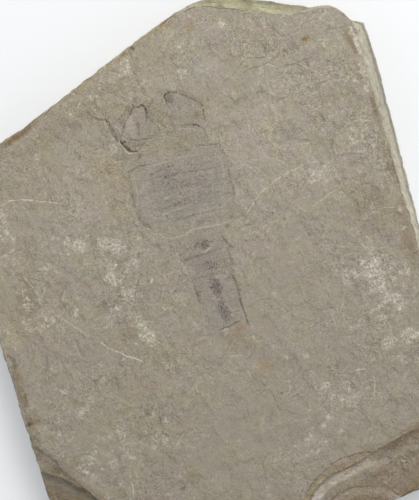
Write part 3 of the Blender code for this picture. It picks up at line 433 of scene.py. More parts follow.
# Cracks and stains that run along the slab's edges: (colour, strength, half width, points).
EDGE_LINES = [
    ((1.0, 0.97, 0.85), 1.0, 1.6, [(-58.0, 105.2), (-36.0, 112.6), (-1.7, 125.0), (16.0, 131.4)]),
    (BROWN, 1.0, 1.8, [(-79.6, 97.4), (-72.0, 99.2), (-66.0, 101.2), (-60.6, 103.6)]),
    (DARK, 0.8, 0.6, [(-109.8, -3.5), (-107.9, -5.3), (-107.5, -7.9), (-107.8, -10.7)]),
    (DARK, 0.8, 0.6, [(-107.5, -25.0), (-107.2, -27.7), (-107.4, -30.6)]),
    (DARK, 0.7, 0.7, [(-111.5, -40.2), (-109.3, -39.9), (-107.2, -39.8)]),
    (DARK, 0.6, 0.8, [(-110.9, -47.3), (-109.7, -51.1), (-108.0, -53.7), (-106.1, -54.6), (-104.3, -57.5)]),
    (PALE, 0.9, 0.6, [(-108.4, -33.6), (-107.2, -38.2), (-105.6, -41.4), (-104.9, -44.2)]),
]
# The ground beside the broken ledges, some of it painted shade: (colour, strength, half width, shift from the
# ledge, break's number, from x, to x).
LEDGE_BANDS = [
    # the SHADE and DARK bands past the two left ledges are painted shade at the foot of each step
    (SHADE, 0.4, 0.9, 0.6, 0, -130, 130), (BROWN, 0.45, 2.6, 3.0, 0, -130, 130),
    (BROWN, 0.7, 1.6, -1.6, 1, -130, 130), (SHADE, 0.8, 2.0, 2.0, 1, -130, 130),
    (DARK, 0.7, 0.5, 0.5, 1, -130, 0), ((0.915, 0.82, 0.69), 1.0, 1.8, -1.9, 2, -20, 52),
    (BROWN, 0.6, 1.0, -1.2, 2, 58, 130), (BROWN, 0.6, 0.6, 0.4, 2, -20, 130),
    (MAUVE, 2.1, 2.0, 3.2, 2, -20, 50), ((0.93, 0.82, 0.73), 1.0, 3.0, 3.0, 2, 56, 130),
    (MAUVE, 0.5, 1.2, 7.4, 2, 50, 66), (MAUVE, 1.2, 1.8, 3.2, 3, -20, 130),
    (BROWN, 0.6, 2.0, 8.0, 3, -20, 130),
]
# Where dark mineral is thickest in the film: (strength, x, y, radius across, radius along, turn in degrees).
SPECKLE_PATCHES = [
    (1.0, -5.0, 53.0, 10.0, 13.0, 8), (0.8, 6.0, 50.0, 12.0, 14.0, 8), (0.7, -2.0, 42.0, 14.0, 6.0, 6),
    (1.45, 0.4, 19.8, 5.4, 3.6, 0), (1.0, -5.4, 18.6, 4.4, 3.4, 0), (1.0, 10.6, 20.0, 1.8, 4.0, 0),
    (1.35, 1.8, 8.2, 5.4, 4.2, 0), (1.2, 9.4, 7.4, 2.6, 4.0, 0), (1.6, -0.4, -3.0, 3.6, 6.0, 0),
    (1.5, 0.4, -16.0, 3.4, 7.4, 0), (0.9, 8.4, -5.0, 2.6, 8.0, 0), (0.7, -7.0, 5.0, 3.0, 14.0, 0),
    (0.9, 6.8, 94.2, 4.0, 3.4, -20), (0.7, -13.2, 85.0, 1.6, 6.4, 4), (0.5, -10.0, 80.0, 6.0, 3.0, 0),
]
# The colour of each break's floor: (colour, distance from the ledge at which it starts, break's number).
# the first, the sunken floor past the lower left ledge, is the broken stone's brown darkened further as
# painted shade
BREAK_FLOORS = [((0.70, 0.62, 0.53), 3.0, 1), ((0.83, 0.76, 0.68), 7.0, 2), ((0.88, 0.80, 0.70), 7.0, 3)]
OLIVE_BEDS = (0.92, 0.95, 0.80)  # what weathering does to the colour of the top side's beds
RIGHT_SIDE_FROM = 60.0  # x past which a side face counts as the right one
# How light the right side is along its length: the places' y, and the shares there.
RIGHT_SIDE_PLACES, RIGHT_SIDE_SHARES = [9.0, 40.0, 62.0, 92.0], [1.10, 1.0, 0.93, 1.0]

# The inks of the animal's sharp lines, some of them painted shade, as (attribute, colour, how deep the line
# is scored), and of the cracks under the broken ledges, darkened as painted shadow at the foot of each step.
LINE_INKS_AND_SHADE = (("ink_and_shade", (0.068, 0.052, 0.042), 0.16), ("rim", (0.56, 0.51, 0.415), -0.08))
LEDGE_CRACK_SHADOW = (0.115, 0.082, 0.058)

# The stage. The lamp's direction is level, and its height over the floor is an angle in degrees.
FLOOR_WIDTH = 8000.0
FLOOR_GLOW = (0.93, 0.965, 1.0)  # colour of the light that the floor gives off
SKY_COLOUR = (0.955, 0.980, 1.0)
LAMP_COLOUR = (1.0, 0.980, 0.945)
LAMP_DIRECTION, LAMP_ELEVATION = (0.575, 0.818, 0.0), 55.0
LAMP_DISTANCE, LAMP_WIDTH = 1300.0, 900.0
CAMERA_OVER, CAMERA_TURN = (2.7, 16.0), -17.65


# ---------------------------------------------------------------------------------------------------------
# Settings


class SlabSettings(bpy.types.PropertyGroup):
    """Sizes and colours of the stone slab."""

    roughness: bpy.props.FloatProperty(
        name="Edge roughness", description="How far the fractured edge strays in and out",
        default=0.7 * MM, min=0.0, unit="LENGTH", subtype="DISTANCE",
    )
    undulation: bpy.props.FloatProperty(
        name="Undulation", description="How far the bedding face rises and falls away from the animal",
        default=0.7 * MM, min=0.0, unit="LENGTH", subtype="DISTANCE",
    )
    waver: bpy.props.FloatProperty(
        name="Bed waver", description="How far a ledge of the side face wanders up and down",
        default=1.4 * MM, min=0.0, unit="LENGTH", subtype="DISTANCE",
    )
    lamina: bpy.props.FloatProperty(
        name="Lamina", description="Height of one spalled lamina on the bedding face",
        default=0.16 * MM, min=0.0, unit="LENGTH", subtype="DISTANCE",
    )
    moss: bpy.props.FloatVectorProperty(
        name="Moss", description="The stone's greener grey flecks", subtype="COLOR", size=3, min=0.0, max=1.0,
        default=(0.296, 0.275, 0.220),
    )
    rust: bpy.props.FloatVectorProperty(
        name="Rust", description="The stone's small warm flecks", subtype="COLOR", size=3, min=0.0, max=1.0,
        default=(0.327, 0.272, 0.196),
    )
    stone: bpy.props.FloatVectorProperty(
        name="Stone", description="The stone's middle colour", subtype="COLOR", size=3, min=0.0, max=1.0,
        default=(0.314, 0.274, 0.216),
    )
    olive: bpy.props.FloatVectorProperty(
        name="Olive", description="The stone's greener, warmer areas", subtype="COLOR", size=3,
        min=0.0, max=1.0, default=(0.320, 0.284, 0.209),
    )
    lilac: bpy.props.FloatVectorProperty(
        name="Lilac", description="The stone's greyer, purplish areas", subtype="COLOR", size=3,
        min=0.0, max=1.0, default=(0.323, 0.277, 0.230),
    )
    umber: bpy.props.FloatVectorProperty(
        name="Umber", description="The stone's darker, browner areas", subtype="COLOR", size=3,
        min=0.0, max=1.0, default=(0.268, 0.222, 0.165),
    )
    chalk: bpy.props.FloatVectorProperty(
        name="Chalk", description="Bruises, scratches and flecks of crushed stone", subtype="COLOR", size=3,
        min=0.0, max=1.0, default=(0.63, 0.59, 0.50),
    )
    cream: bpy.props.FloatVectorProperty(
        name="Cream", description="Freshly broken beds on the side faces", subtype="COLOR", size=3, min=0.0,
        max=1.0, default=(0.49, 0.455, 0.375),
    )
    crust: bpy.props.FloatVectorProperty(
        name="Crust", description="Stained and weathered beds on the side faces", subtype="COLOR", size=3,
        min=0.0, max=1.0, default=(0.215, 0.180, 0.130),
    )


class AnimalSettings(bpy.types.PropertyGroup):
    """Sizes and colours of the pressed sea scorpion."""

    relief: bpy.props.FloatProperty(
        name="Relief", description="How far the rear edge of each band stands over the next",
        default=0.22 * MM, min=0.0, unit="LENGTH", subtype="DISTANCE",
    )
    film: bpy.props.FloatProperty(
        name="Film", description="Thickness of the mineral film that the animal has become",
        default=0.55 * MM, min=0.0, unit="LENGTH", subtype="DISTANCE",
    )
    pale_film: bpy.props.FloatVectorProperty(
        name="Pale film", description="What the thinner film does to the stone's colour", subtype="COLOR",
        size=3, min=0.0, max=1.0, default=(0.970, 0.980, 1.0),
    )
    dark_film: bpy.props.FloatVectorProperty(
        name="Dark film", description="What the thicker film does to the stone's colour", subtype="COLOR",
        size=3, min=0.0, max=1.0, default=(0.925, 0.936, 0.990),
    )
    stain: bpy.props.FloatVectorProperty(
        name="Stain", description="Specks of dark mineral in the film", subtype="COLOR", size=3, min=0.0,
        max=1.0, default=(0.120, 0.098, 0.092),
    )


class StageSettings(bpy.types.PropertyGroup):
    """The floor, the light and the camera."""

    floor: bpy.props.FloatVectorProperty(
        name="Floor", description="The floor's colour", subtype="COLOR", size=3, min=0.0, max=1.0,
        default=(0.705, 0.713, 0.724),
    )
    glow: bpy.props.FloatProperty(
        name="Glow", description="How brightly the floor is lit from below", default=0.205, min=0.0,
    )
    key_power: bpy.props.FloatProperty(
        name="Key light", description="Power of the large soft lamp", default=10.8, min=0.0, unit="POWER",
    )
    sky: bpy.props.FloatProperty(
        name="Sky", description="Strength of the even light from all round", default=0.59, min=0.0,
    )
    lens: bpy.props.FloatProperty(
        name="Lens", description="Focal length of the camera", default=400.0, min=1.0, unit="CAMERA",
    )
    height: bpy.props.FloatProperty(
        name="Camera height", description="Height of the camera over the bedding face", default=2.778,
        min=0.1, unit="LENGTH", subtype="DISTANCE",
    )


# ---------------------------------------------------------------------------------------------------------
# Fields over the bedding plane. x and y are arrays in millimetres.


def smooth_step(low, high, value):
    """0 below low, 1 above high, smooth between."""
    share = np.clip((value - low) / (high - low), 0.0, 1.0)
    return share * share * (3.0 - 2.0 * share)


def bumps(x, y, size, seed, octaves=1, gain=0.5):
    """Smooth noise of about -1 to 1. Its widest bumps are this many millimetres across."""
    total = np.zeros(len(x))
    for octave in range(octaves):
        scale = 2.0**octave / size
        level = seed + 3.7 * octave
        places = zip((x * scale).tolist(), (y * scale).tolist())
        total += gain**octave * np.array([noise.noise((a, b, level)) for a, b in places])
    return total


def line_distance(x, y, line):
    """How far each point is from a line through these points, and on which side: positive on its left."""
    nearest, side = np.full(len(x), 1e9), np.ones(len(x))
    for (x0, y0), (x1, y1) in zip(line, line[1:]):
        dx, dy = x1 - x0, y1 - y0
        share = np.clip(((x - x0) * dx + (y - y0) * dy) / (dx * dx + dy * dy), 0.0, 1.0)
        distance = np.hypot(x - x0 - share * dx, y - y0 - share * dy)
        closer = distance < nearest
        nearest = np.where(closer, distance, nearest)
        side = np.where(closer, np.where(dx * (y - y0) - dy * (x - x0) < 0.0, -1.0, 1.0), side)
    return nearest, side


def near_line(x, y, line, margin=4.0):
    """The numbers of the points in a line's box, widened by a margin."""
    (left, low), (right, high) = np.min(line, axis=0) - margin, np.max(line, axis=0) + margin
    return np.flatnonzero((x > left) & (x < right) & (y > low) & (y < high))


def within(x, y, outline):
    """True for each point inside a closed outline."""
    inside = np.zeros(len(x), bool)
    for (x0, y0), (x1, y1) in zip(outline, outline[1:] + outline[:1]):
        if y0 != y1:
            crossed = (y0 > y) != (y1 > y)
            inside ^= crossed & (x < x0 + (y - y0) / (y1 - y0) * (x1 - x0))
    return inside


def depth_inside(x, y, outline):
    """How far each point is inside a closed outline; under 0 outside it."""
    distance, _ = line_distance(x, y, outline + outline[:1])
    return np.where(within(x, y, outline), distance, -distance)


def animal_depth(x, y):
    """How far each point is inside the animal's film, and how far it is from the middle of its limb."""
    body = [(across, along) for along, across in LEFT_EDGE + RIGHT_EDGE[::-1]]
    limb, _ = line_distance(x, y, LIMB_ROUTE)
    depth = 0.55 - limb
    for outline in (body, HEAD_REMNANT, LEFT_COXA, RIGHT_COXA):
        depth = np.maximum(depth, depth_inside(x, y, outline) + 0.45)
    return depth + 0.25 * bumps(x, y, 2.4, 61.0, 2), limb


def lamina_levels(x, y):
    """The bedding face as a map of levels: a lamina ends where this passes a whole number."""
    return 4.2 * bumps(x, y, 46.0, 17.0, 3, 0.5) + 20.0


def break_field(x, y, shape):
    """How far each point lies inside a break's ledge; under 0 on the sound stone."""
    (ox, oy), ledge = shape["outwards"], shape["ledge"]
    far = [(x1 + 90.0 * ox, y1 + 90.0 * oy) for x1, y1 in (ledge[-1], ledge[0])]
    distance, _ = line_distance(x, y, ledge)
    signed = np.where(within(x, y, ledge + far), distance, -distance)
    return signed + 0.7 * bumps(x, y, 8.0, 31.0) + 0.35 * bumps(x, y, 2.5, 33.0)


def break_depth(x, y):
    """How much stone the breaks take off the bedding face at each point."""
    deepest = np.zeros(len(x))
    for shape in BREAKS:
        distance = break_field(x, y, shape)
        knots = [(0.0, 0.0)] + shape["section"]
        depth = np.interp(distance, [knot[0] for knot in knots], [knot[1] for knot in knots])
        depth += np.where(distance > 2.0, 0.5 * bumps(x, y, 14.0, 35.0, 2), 0.0)
        if shape["lamina"]:
            levels = depth / shape["lamina"]
            depth = shape["lamina"] * (np.floor(levels) + smooth_step(0.3, 0.7, levels - np.floor(levels)))
        deepest = np.maximum(deepest, np.where(distance > 0.0, depth, 0.0))
    return deepest


def surface_height(x, y, looks):
    """Height of the bedding face, with its spalled laminae and its breaks, but without the animal."""
    from_animal = np.hypot((x - FLAT_CENTRE[0]) / FLAT_RADII[0], (y - FLAT_CENTRE[1]) / FLAT_RADII[1])
    waves = bumps(x, y, 38.0, 2.0) + 0.5 * bumps(x, y, 15.0, 7.0)
    height = THICKNESS + looks.undulation / MM * waves * smooth_step(0.8, 1.3, from_animal)
    levels = lamina_levels(x, y)
    spalled = np.floor(levels) + smooth_step(0.38, 0.62, levels - np.floor(levels)) - 0.75 * levels - 5.0
    height += looks.lamina / MM * spalled + 0.05 * bumps(x, y, 5.0, 41.0, 3, 0.6)
    height = np.minimum(height, THICKNESS + 0.5)
    return height - break_depth(x, y)


# ---------------------------------------------------------------------------------------------------------
# Painting. Each vertex holds a tint, three shares of red, green and blue, that the material multiplies by.


def dye(colour, mask):
    """What a mark of this colour does to the tint: in full where the mask is 1, not at all where it is 0."""
    return 1.0 + mask[:, None] * (np.array(colour) - 1.0)


def paint_line(tint, x, y, colour, strength, half_width, line):
    """Draws a line that frays and fades here and there."""
    near = near_line(x, y, line)
    if not len(near):
        return
    px, py = x[near], y[near]
    wander = 0.3 * bumps(px, py, 3.0, 51.0)
    distance, side = line_distance(px, py, line)
    distance = np.abs(distance * side + wander)
    broken = 0.78 + 0.55 * bumps(px, py, 2.2, 53.0, 2)
    inside = 1.0 - smooth_step(0.35 * half_width, 1.55 * half_width, distance)
    tint[near] *= dye(colour, strength * np.clip(broken, 0.15, 1.15) * inside)


def patch_mask(x, y, cx, cy, across, along, turn, fray=0.35):
    """1 inside a turned ellipse, fading out over its frayed edge."""
    c, s = math.cos(math.radians(turn)), math.sin(math.radians(turn))
    u, v = (x - cx) * c + (y - cy) * s, (y - cy) * c - (x - cx) * s
    size = min(across, along)
    radius = np.hypot(u / across, v / along)
    mask = np.zeros(len(x))
    near = np.flatnonzero(radius < 1.9)
    if len(near):
        frayed = radius[near] + fray * bumps(x[near], y[near], max(1.6, 0.9 * size), 57.0 + cx, 3, 0.6)
        mask[near] = 1.0 - smooth_step(0.45, 1.25, frayed)
    return mask


def paint_patch(tint, x, y, colour, strength, *shape):
    tint *= dye(colour, strength * patch_mask(x, y, *shape))


def fossil_tint(x, y):
    """The tint of the animal and of the stone round it."""
    tint = np.ones((len(x), 3))
    for patch in FOSSIL_PATCHES:
        paint_patch(tint, x, y, *patch)
    for colour, *line in FOSSIL_LINES:
        if colour in (BROWN, OLIVE, TAN):
            paint_line(tint, x, y, colour, *line)
    return tint


def weathering(x, y):
    """How strong the stone's grain and relief are at each point: 1 is usual."""
    share = np.ones(len(x))
    for factor, *shape in WEATHERING:
        share *= 1.0 + (factor - 1.0) * patch_mask(x, y, *shape, 0.25)
    return share


def line_field(x, y, lines):
    """How far each point is from the nearest of these lines, with its side, and that line's strength there.

    A line is (strength, half width, points); the distance is a multiple of the half width.
    """
    nearest, strength, reach = np.full(len(x), 9.0), np.zeros(len(x)), np.ones(len(x))
    for gain, half_width, line in lines:
        near = near_line(x, y, line)
        distance, side = line_distance(x[near], y[near], line)
        chosen = distance < np.abs(nearest[near])
        closer = near[chosen]
        nearest[closer] = (distance * side)[chosen]
        strength[closer] = gain * (1.0 - smooth_step(1.5, 3.0, distance[chosen]))
        reach[closer] = half_width
    return nearest / reach, strength


def sharp_lines(pale):
    """The animal's lines that are drawn sharp, dark or pale, as (strength, half width, points)."""
    weights = {PALE: 0.75} if pale else {INK: 1.35, DARK: 1.0, SHADE: 0.42}
    chosen = [line for line in FOSSIL_LINES if line[0] in weights]
    return [(weights[colour] * strength, *line) for colour, strength, *line in chosen]


def store_lines(mesh, x, y):
    """Keeps the sharp lines' distance and strength at each vertex."""
    for name, lines in (("ink_and_shade", sharp_lines(False)), ("rim", sharp_lines(True))):
        across, strength = line_field(x, y, lines)
        store(mesh, name, across)
        store(mesh, name + "_strength", strength)


def store(mesh, name, values):
    """Keeps a number, or a colour's three shares, at each vertex for the material."""
    kind, key = ("FLOAT", "value") if values.ndim == 1 else ("FLOAT_COLOR", "color")
    if kind == "FLOAT_COLOR":
        values = np.column_stack([values, np.ones(len(values))])
    mesh.attributes.new(name, kind, "POINT").data.foreach_set(key, values.astype(np.float32).ravel())


def store_all(mesh, x, y, fields):
    """Stores these fields, and those that the stone and the film share."""
    store_lines(mesh, x, y)
    store(mesh, "weathering", weathering(x, y))
    for name, values in fields.items():
        store(mesh, name, values)


# ---------------------------------------------------------------------------------------------------------
# Materials


class Term:
    """A node's output. Arithmetic on it adds Math nodes to the same material."""

    def __init__(self, recipe, socket):
        self.recipe, self.socket = recipe, socket

    def math(self, operation, *values):
        return self.recipe.node("ShaderNodeMath", {"operation": operation}, dict(enumerate(values)))

    def __add__(self, other):
        return self.math("ADD", self, other)

    def __sub__(self, other):
        return self.math("SUBTRACT", self, other)

    def __rsub__(self, other):
        return self.math("SUBTRACT", other, self)

    def __mul__(self, other):
        return self.math("MULTIPLY", self, other)

    def __truediv__(self, other):
        return self.math("DIVIDE", self, other)

    def __abs__(self):
        return self.math("ABSOLUTE", self)

    __radd__, __rmul__ = __add__, __mul__


class Recipe:
    """A material that is written out as a recipe: each line adds the nodes for one more look."""

    def __init__(self, name):
        self.material = bpy.data.materials.new(name)
        self.material.use_nodes = True
        self.tree = self.material.node_tree
        self.tree.nodes.clear()
        self.place = self.node("ShaderNodeTexCoord", output="Object")

    def node(self, kind, settings=None, inputs=None, output=0):
        """Adds a node: its settings first, then its inputs, each a value or another node's output."""
        made = self.tree.nodes.new(kind)
        for key, value in (settings or {}).items():
            setattr(made, key, value)
        for key, value in (inputs or {}).items():
            if isinstance(value, Term):
                self.tree.links.new(value.socket, made.inputs[key])
            else:
                made.inputs[key].default_value = value
        return Term(self, made.outputs[output]) if made.outputs else None

    def noise(self, size, octaves=2.0, roughness=0.5, stretch=(1.0, 1.0, 1.0), shift=0.0):
        """Noise of 0 to 1 with bumps of this many millimetres, stretched along the axes by these shares."""
        scale = tuple(1.0 / (MM * size * share) for share in stretch)
        place = self.node(
            "ShaderNodeMapping", {"vector_type": "POINT"},
            {"Vector": self.place, "Scale": scale, "Location": (shift, 2.0 * shift, 0.5 * shift)},
        )
        return self.node(
            "ShaderNodeTexNoise", {"noise_dimensions": "3D"},
            {"Vector": place, "Scale": 1.0, "Detail": octaves, "Roughness": roughness},
        )

    def step(self, low, high, value):
        """0 below low, 1 above high, smooth between."""
        return self.node(
            "ShaderNodeMapRange", {"interpolation_type": "SMOOTHSTEP", "clamp": True},
            {"Value": value, "From Min": low, "From Max": high},
        )

    def attribute(self, name, colour=False):
        return self.node("ShaderNodeAttribute", {"attribute_name": name}, output="Color" if colour else "Fac")

    def mix(self, first, second, factor, blend="MIX"):
        """One colour over another."""
        settings = {"data_type": "RGBA", "blend_type": blend}
        return self.node("ShaderNodeMix", settings, {0: factor, 6: first, 7: second}, output=2)

    def shade(self, colour, amount):
        """A colour made lighter or darker by a number."""
        return self.node("ShaderNodeVectorMath", {"operation": "SCALE"}, {0: colour, "Scale": amount})

    def finish(self, colour, roughness, height, glow=0.0):
        """Closes the recipe: height is in millimetres, glow is light that the surface gives off."""
        bump = self.node("ShaderNodeBump", inputs={"Strength": 1.0, "Distance": MM, "Height": height})
        surface = self.node(
            "ShaderNodeBsdfPrincipled",
            inputs={
                "Base Color": colour, "Roughness": roughness, "Normal": bump, "Specular IOR Level": 0.3,
                "Emission Color": rgba(FLOOR_GLOW), "Emission Strength": glow,
            },
        )
        self.node("ShaderNodeOutputMaterial", inputs={"Surface": surface})
        return self.material


def rgba(colour):
    """A colour as a socket takes it."""
    return (*colour, 1.0)


def stone_ground(recipe, looks):
    """The dolostone's own colour and grain, the same under the animal as around it."""
    olive = recipe.step(0.43, 0.57, recipe.noise(20.0, 3.0, 0.55))
    colour = recipe.mix(rgba(looks.stone), rgba(looks.olive), olive)
    lilac = recipe.step(0.45, 0.56, recipe.noise(9.0, 3.0, 0.58, shift=3.0))
    colour = recipe.mix(colour, rgba(looks.lilac), lilac * 0.9)
    moss = recipe.step(0.48, 0.60, recipe.noise(5.0, 2.0, 0.55, shift=41.0))
    colour = recipe.mix(colour, rgba(looks.moss), moss * 0.50)
    rust = recipe.step(0.54, 0.64, recipe.noise(3.4, 1.0, 0.5, shift=47.0))
    colour = recipe.mix(colour, rgba(looks.rust), rust * 0.32)
    umber = recipe.step(0.55, 0.68, recipe.noise(11.0, 4.0, 0.66, shift=25.0))
    colour = recipe.mix(colour, rgba(looks.umber), umber * 0.42)
    grain, silt = recipe.noise(0.95, 3.0, 0.75), recipe.noise(2.4, 2.0, 0.6, shift=13.0)
    pepper = recipe.noise(0.5, 1.0, shift=1.0)
    rough = recipe.step(0.36, 0.62, recipe.noise(12.0, 4.0, 0.6, shift=101.0)) * 0.8 + 0.62
    rough = rough * recipe.attribute("weathering")
    colour = recipe.shade(colour, (grain * 0.95 + silt * 0.30 + pepper * 0.80 - 1.02) * rough + 1.0)
    return colour, grain, silt


def worms(recipe, size, half, shift):
    """Short crooked threads, as crushed stone shows."""
    curve = recipe.noise(size, 1.0, 0.5, shift=shift) - 0.5
    gate = recipe.step(0.46, 0.58, recipe.noise(0.8 * size, 1.0, 0.5, shift=shift + 4.0))
    return (1.0 - recipe.step(0.3 * half, half, abs(curve))) * gate


def sharp_marks(recipe, colour):
    """The animal's dark and pale lines, and how deep they are scored."""
    wander = (recipe.noise(2.6, 3.0, 0.6, shift=61.0) - 0.5) * 2.4
    broken = recipe.step(0.36, 0.60, recipe.noise(1.0, 3.0, 0.7, shift=63.0))
    scored = 0.0
    for name, ink_and_shade, deep in LINE_INKS_AND_SHADE:
        across = abs(recipe.attribute(name) + wander)
        line = (1.0 - recipe.step(0.30, 1.20, across)) * (broken * 0.78 + 0.22)
        line = line * recipe.attribute(name + "_strength")
        colour = recipe.mix(colour, rgba(ink_and_shade), line)
        scored = line * deep + scored
    return colour, scored


def narrow(recipe, share, middle, half):
    """1 where a share is at the middle, falling to 0 at this distance from it."""
    return 1.0 - recipe.step(0.0, half, abs(share - middle))


def stone_material(looks):
    recipe = Recipe("weathered_dolostone")
    colour, grain, silt = stone_ground(recipe, looks)
    colour = recipe.mix(colour, recipe.attribute("tint", True), 1.0, "MULTIPLY")

    # the edges of spalled laminae, drawn where the levels pass a whole number, and of smaller flakes
    levels = recipe.attribute("levels")
    share = levels.math("FRACT", levels)
    drawn = recipe.step(0.47, 0.58, recipe.noise(18.0, 3.0, 0.6, shift=21.0))
    flakes = recipe.noise(16.0, 2.0, 0.5, (0.8, 1.4, 1.0), 35.0) * 9.0
    flake = flakes.math("FRACT", flakes)
    chipped = recipe.step(0.50, 0.60, recipe.noise(9.0, 3.0, 0.6, shift=37.0))
    edge = narrow(recipe, share, 0.42, 0.10) * drawn + narrow(recipe, flake, 0.44, 0.10) * chipped
    lip = narrow(recipe, share, 0.60, 0.08) * drawn + narrow(recipe, flake, 0.60, 0.08) * chipped
    terrace = (recipe.step(0.44, 0.58, share) - share) * drawn
    terrace = terrace + (recipe.step(0.46, 0.58, flake) - flake) * chipped
    weathering = recipe.attribute("weathering")
    # painted shade on the low side of each edge and a painted highlight on each lip, standing in for the
    # light on these small steps
    colour = recipe.shade(colour, (lip - edge) * 0.13 * weathering + 1.0)

    # hairlines: thin curves that come and go, mostly pale
    hair = 0.0
    for i, (size, gain) in enumerate(((12.0, 0.24), (17.0, -0.20), (6.0, 0.30), (8.0, -0.20))):
        curve = recipe.noise(size, 2.0, 0.5, (0.75, 1.5, 1.0), 31.0 + 7.0 * i) - 0.5
        thin = 1.0 - recipe.step(0.0, 0.15 / size, abs(curve))
        gate = recipe.step(0.55, 0.62, recipe.noise(7.0, 3.0, 0.6, shift=57.0 + 5.0 * i))
        hair = thin * gate * gain + hair
    colour = recipe.shade(colour, hair * weathering + 1.0)

    # bruised stone: full of short white threads, over a faint bloom; a few threads everywhere
    bruise = recipe.attribute("bruise") + (recipe.noise(16.0, 4.0, 0.65, shift=77.0) - 0.47) * 1.0
    cloud = recipe.step(0.16, 0.80, bruise + (recipe.noise(5.0, 4.0, 0.7, shift=79.0) - 0.5) * 2.2)
    threads = worms(recipe, 2.0, 0.10, 81.0) + worms(recipe, 1.4, 0.12, 93.0) * 0.9
    threads = threads + worms(recipe, 3.6, 0.05, 97.0)
    white = cloud * 0.10 + (cloud * 0.46 + 0.03) * threads
    white = white + recipe.step(0.70, 0.79, recipe.noise(1.3, 2.0, 0.6, shift=87.0) + cloud * 0.06) * 0.45
    colour = recipe.mix(colour, rgba(looks.chalk), white)
    dark = recipe.step(0.69, 0.78, recipe.noise(1.2, 2.0, 0.6, shift=89.0))
    colour = recipe.shade(colour, 1.0 - dark * 0.36)

    # scratches and cracks
    across, strength = recipe.attribute("scratch"), recipe.attribute("scratch_strength")
    wander = (recipe.noise(4.0, 3.0, 0.6, shift=71.0) - 0.5) * 2.2
    core = 1.0 - recipe.step(0.12, 0.50, abs(across + wander))
    frayed = core * recipe.step(0.34, 0.54, recipe.noise(1.9, 2.0, 0.6, shift=73.0)) * strength
    colour = recipe.mix(colour, rgba(looks.chalk), frayed.math("MAXIMUM", frayed, 0.0) * 0.75)
    colour = recipe.shade(colour, frayed.math("MINIMUM", frayed, 0.0) * 0.80 + 1.0)
    colour, scored = sharp_marks(recipe, colour)

    # the broken ledges: a dark crack along the foot of each lip, darkened as a painted shadow there, and a
    # pale line on it
    wander = (recipe.noise(6.0, 3.0, 0.6, shift=67.0) - 0.5) * 2.0
    rough = recipe.step(0.42, 0.58, recipe.noise(7.0, 3.0, 0.6, shift=69.0))
    for name in ("upper_ledge", "lower_ledge"):
        ledge = recipe.attribute(name) + wander
        crack_shadow = (1.0 - recipe.step(0.15, 0.65, abs(ledge - 0.5))) * (rough * 0.7 + 0.3)
        lip = (1.0 - recipe.step(0.1, 0.5, abs(ledge + 0.7))) * rough
        colour = recipe.mix(colour, rgba(LEDGE_CRACK_SHADOW), crack_shadow * 0.48)
        colour = recipe.shade(colour, lip * 0.20 + 1.0)

    # the side faces: thin beds, some fresh and cream, some stained
    flat = (22.0, 22.0, 1.0)
    strata = recipe.noise(0.9, 3.0, 0.6, flat, 91.0) * 0.7 + recipe.noise(2.6, 2.0, 0.5, flat, 95.0) * 0.3
    patches = recipe.noise(16.0, 3.0, 0.6, (1.0, 1.0, 0.5), 99.0)
    fresh = recipe.step(0.36, 0.58, strata * 0.55 + patches * 0.45 + (recipe.attribute("fresh") - 0.5) * 0.35)
    beds = recipe.mix(rgba(looks.crust), rgba(looks.cream), fresh)
    beds = recipe.shade(beds, grain * 0.60 + silt * 0.30 + 0.55)
    beds = recipe.mix(beds, recipe.attribute("tint", True), 1.0, "MULTIPLY")
    side = recipe.attribute("side")
    colour = recipe.mix(colour, beds, side)

    # the relief of the grain, of ripples and creases, and of all that is drawn above
    crumple = recipe.noise(8.0, 4.0, 0.52, shift=15.0)
    slant = (0.75, 1.4, 1.0)
    crease = abs(recipe.noise(11.0, 3.0, 0.5, slant, 27.0) - 0.5)
    crease = crease + abs(recipe.noise(23.0, 3.0, 0.5, slant, 29.0) - 0.5) * 2.0
    height = grain * 0.20 + silt * 0.22 + crumple * 2.4 - crease * 2.6
    height = height + recipe.noise(2.2, 3.0, 0.6, shift=19.0) * 0.22
    height = height * weathering - core * abs(strength) * 0.16 - dark * 0.10
    height = height + terrace * 0.20 - scored + strata * side * 1.1
    return recipe.finish(colour, 0.78 + grain * 0.18, height)


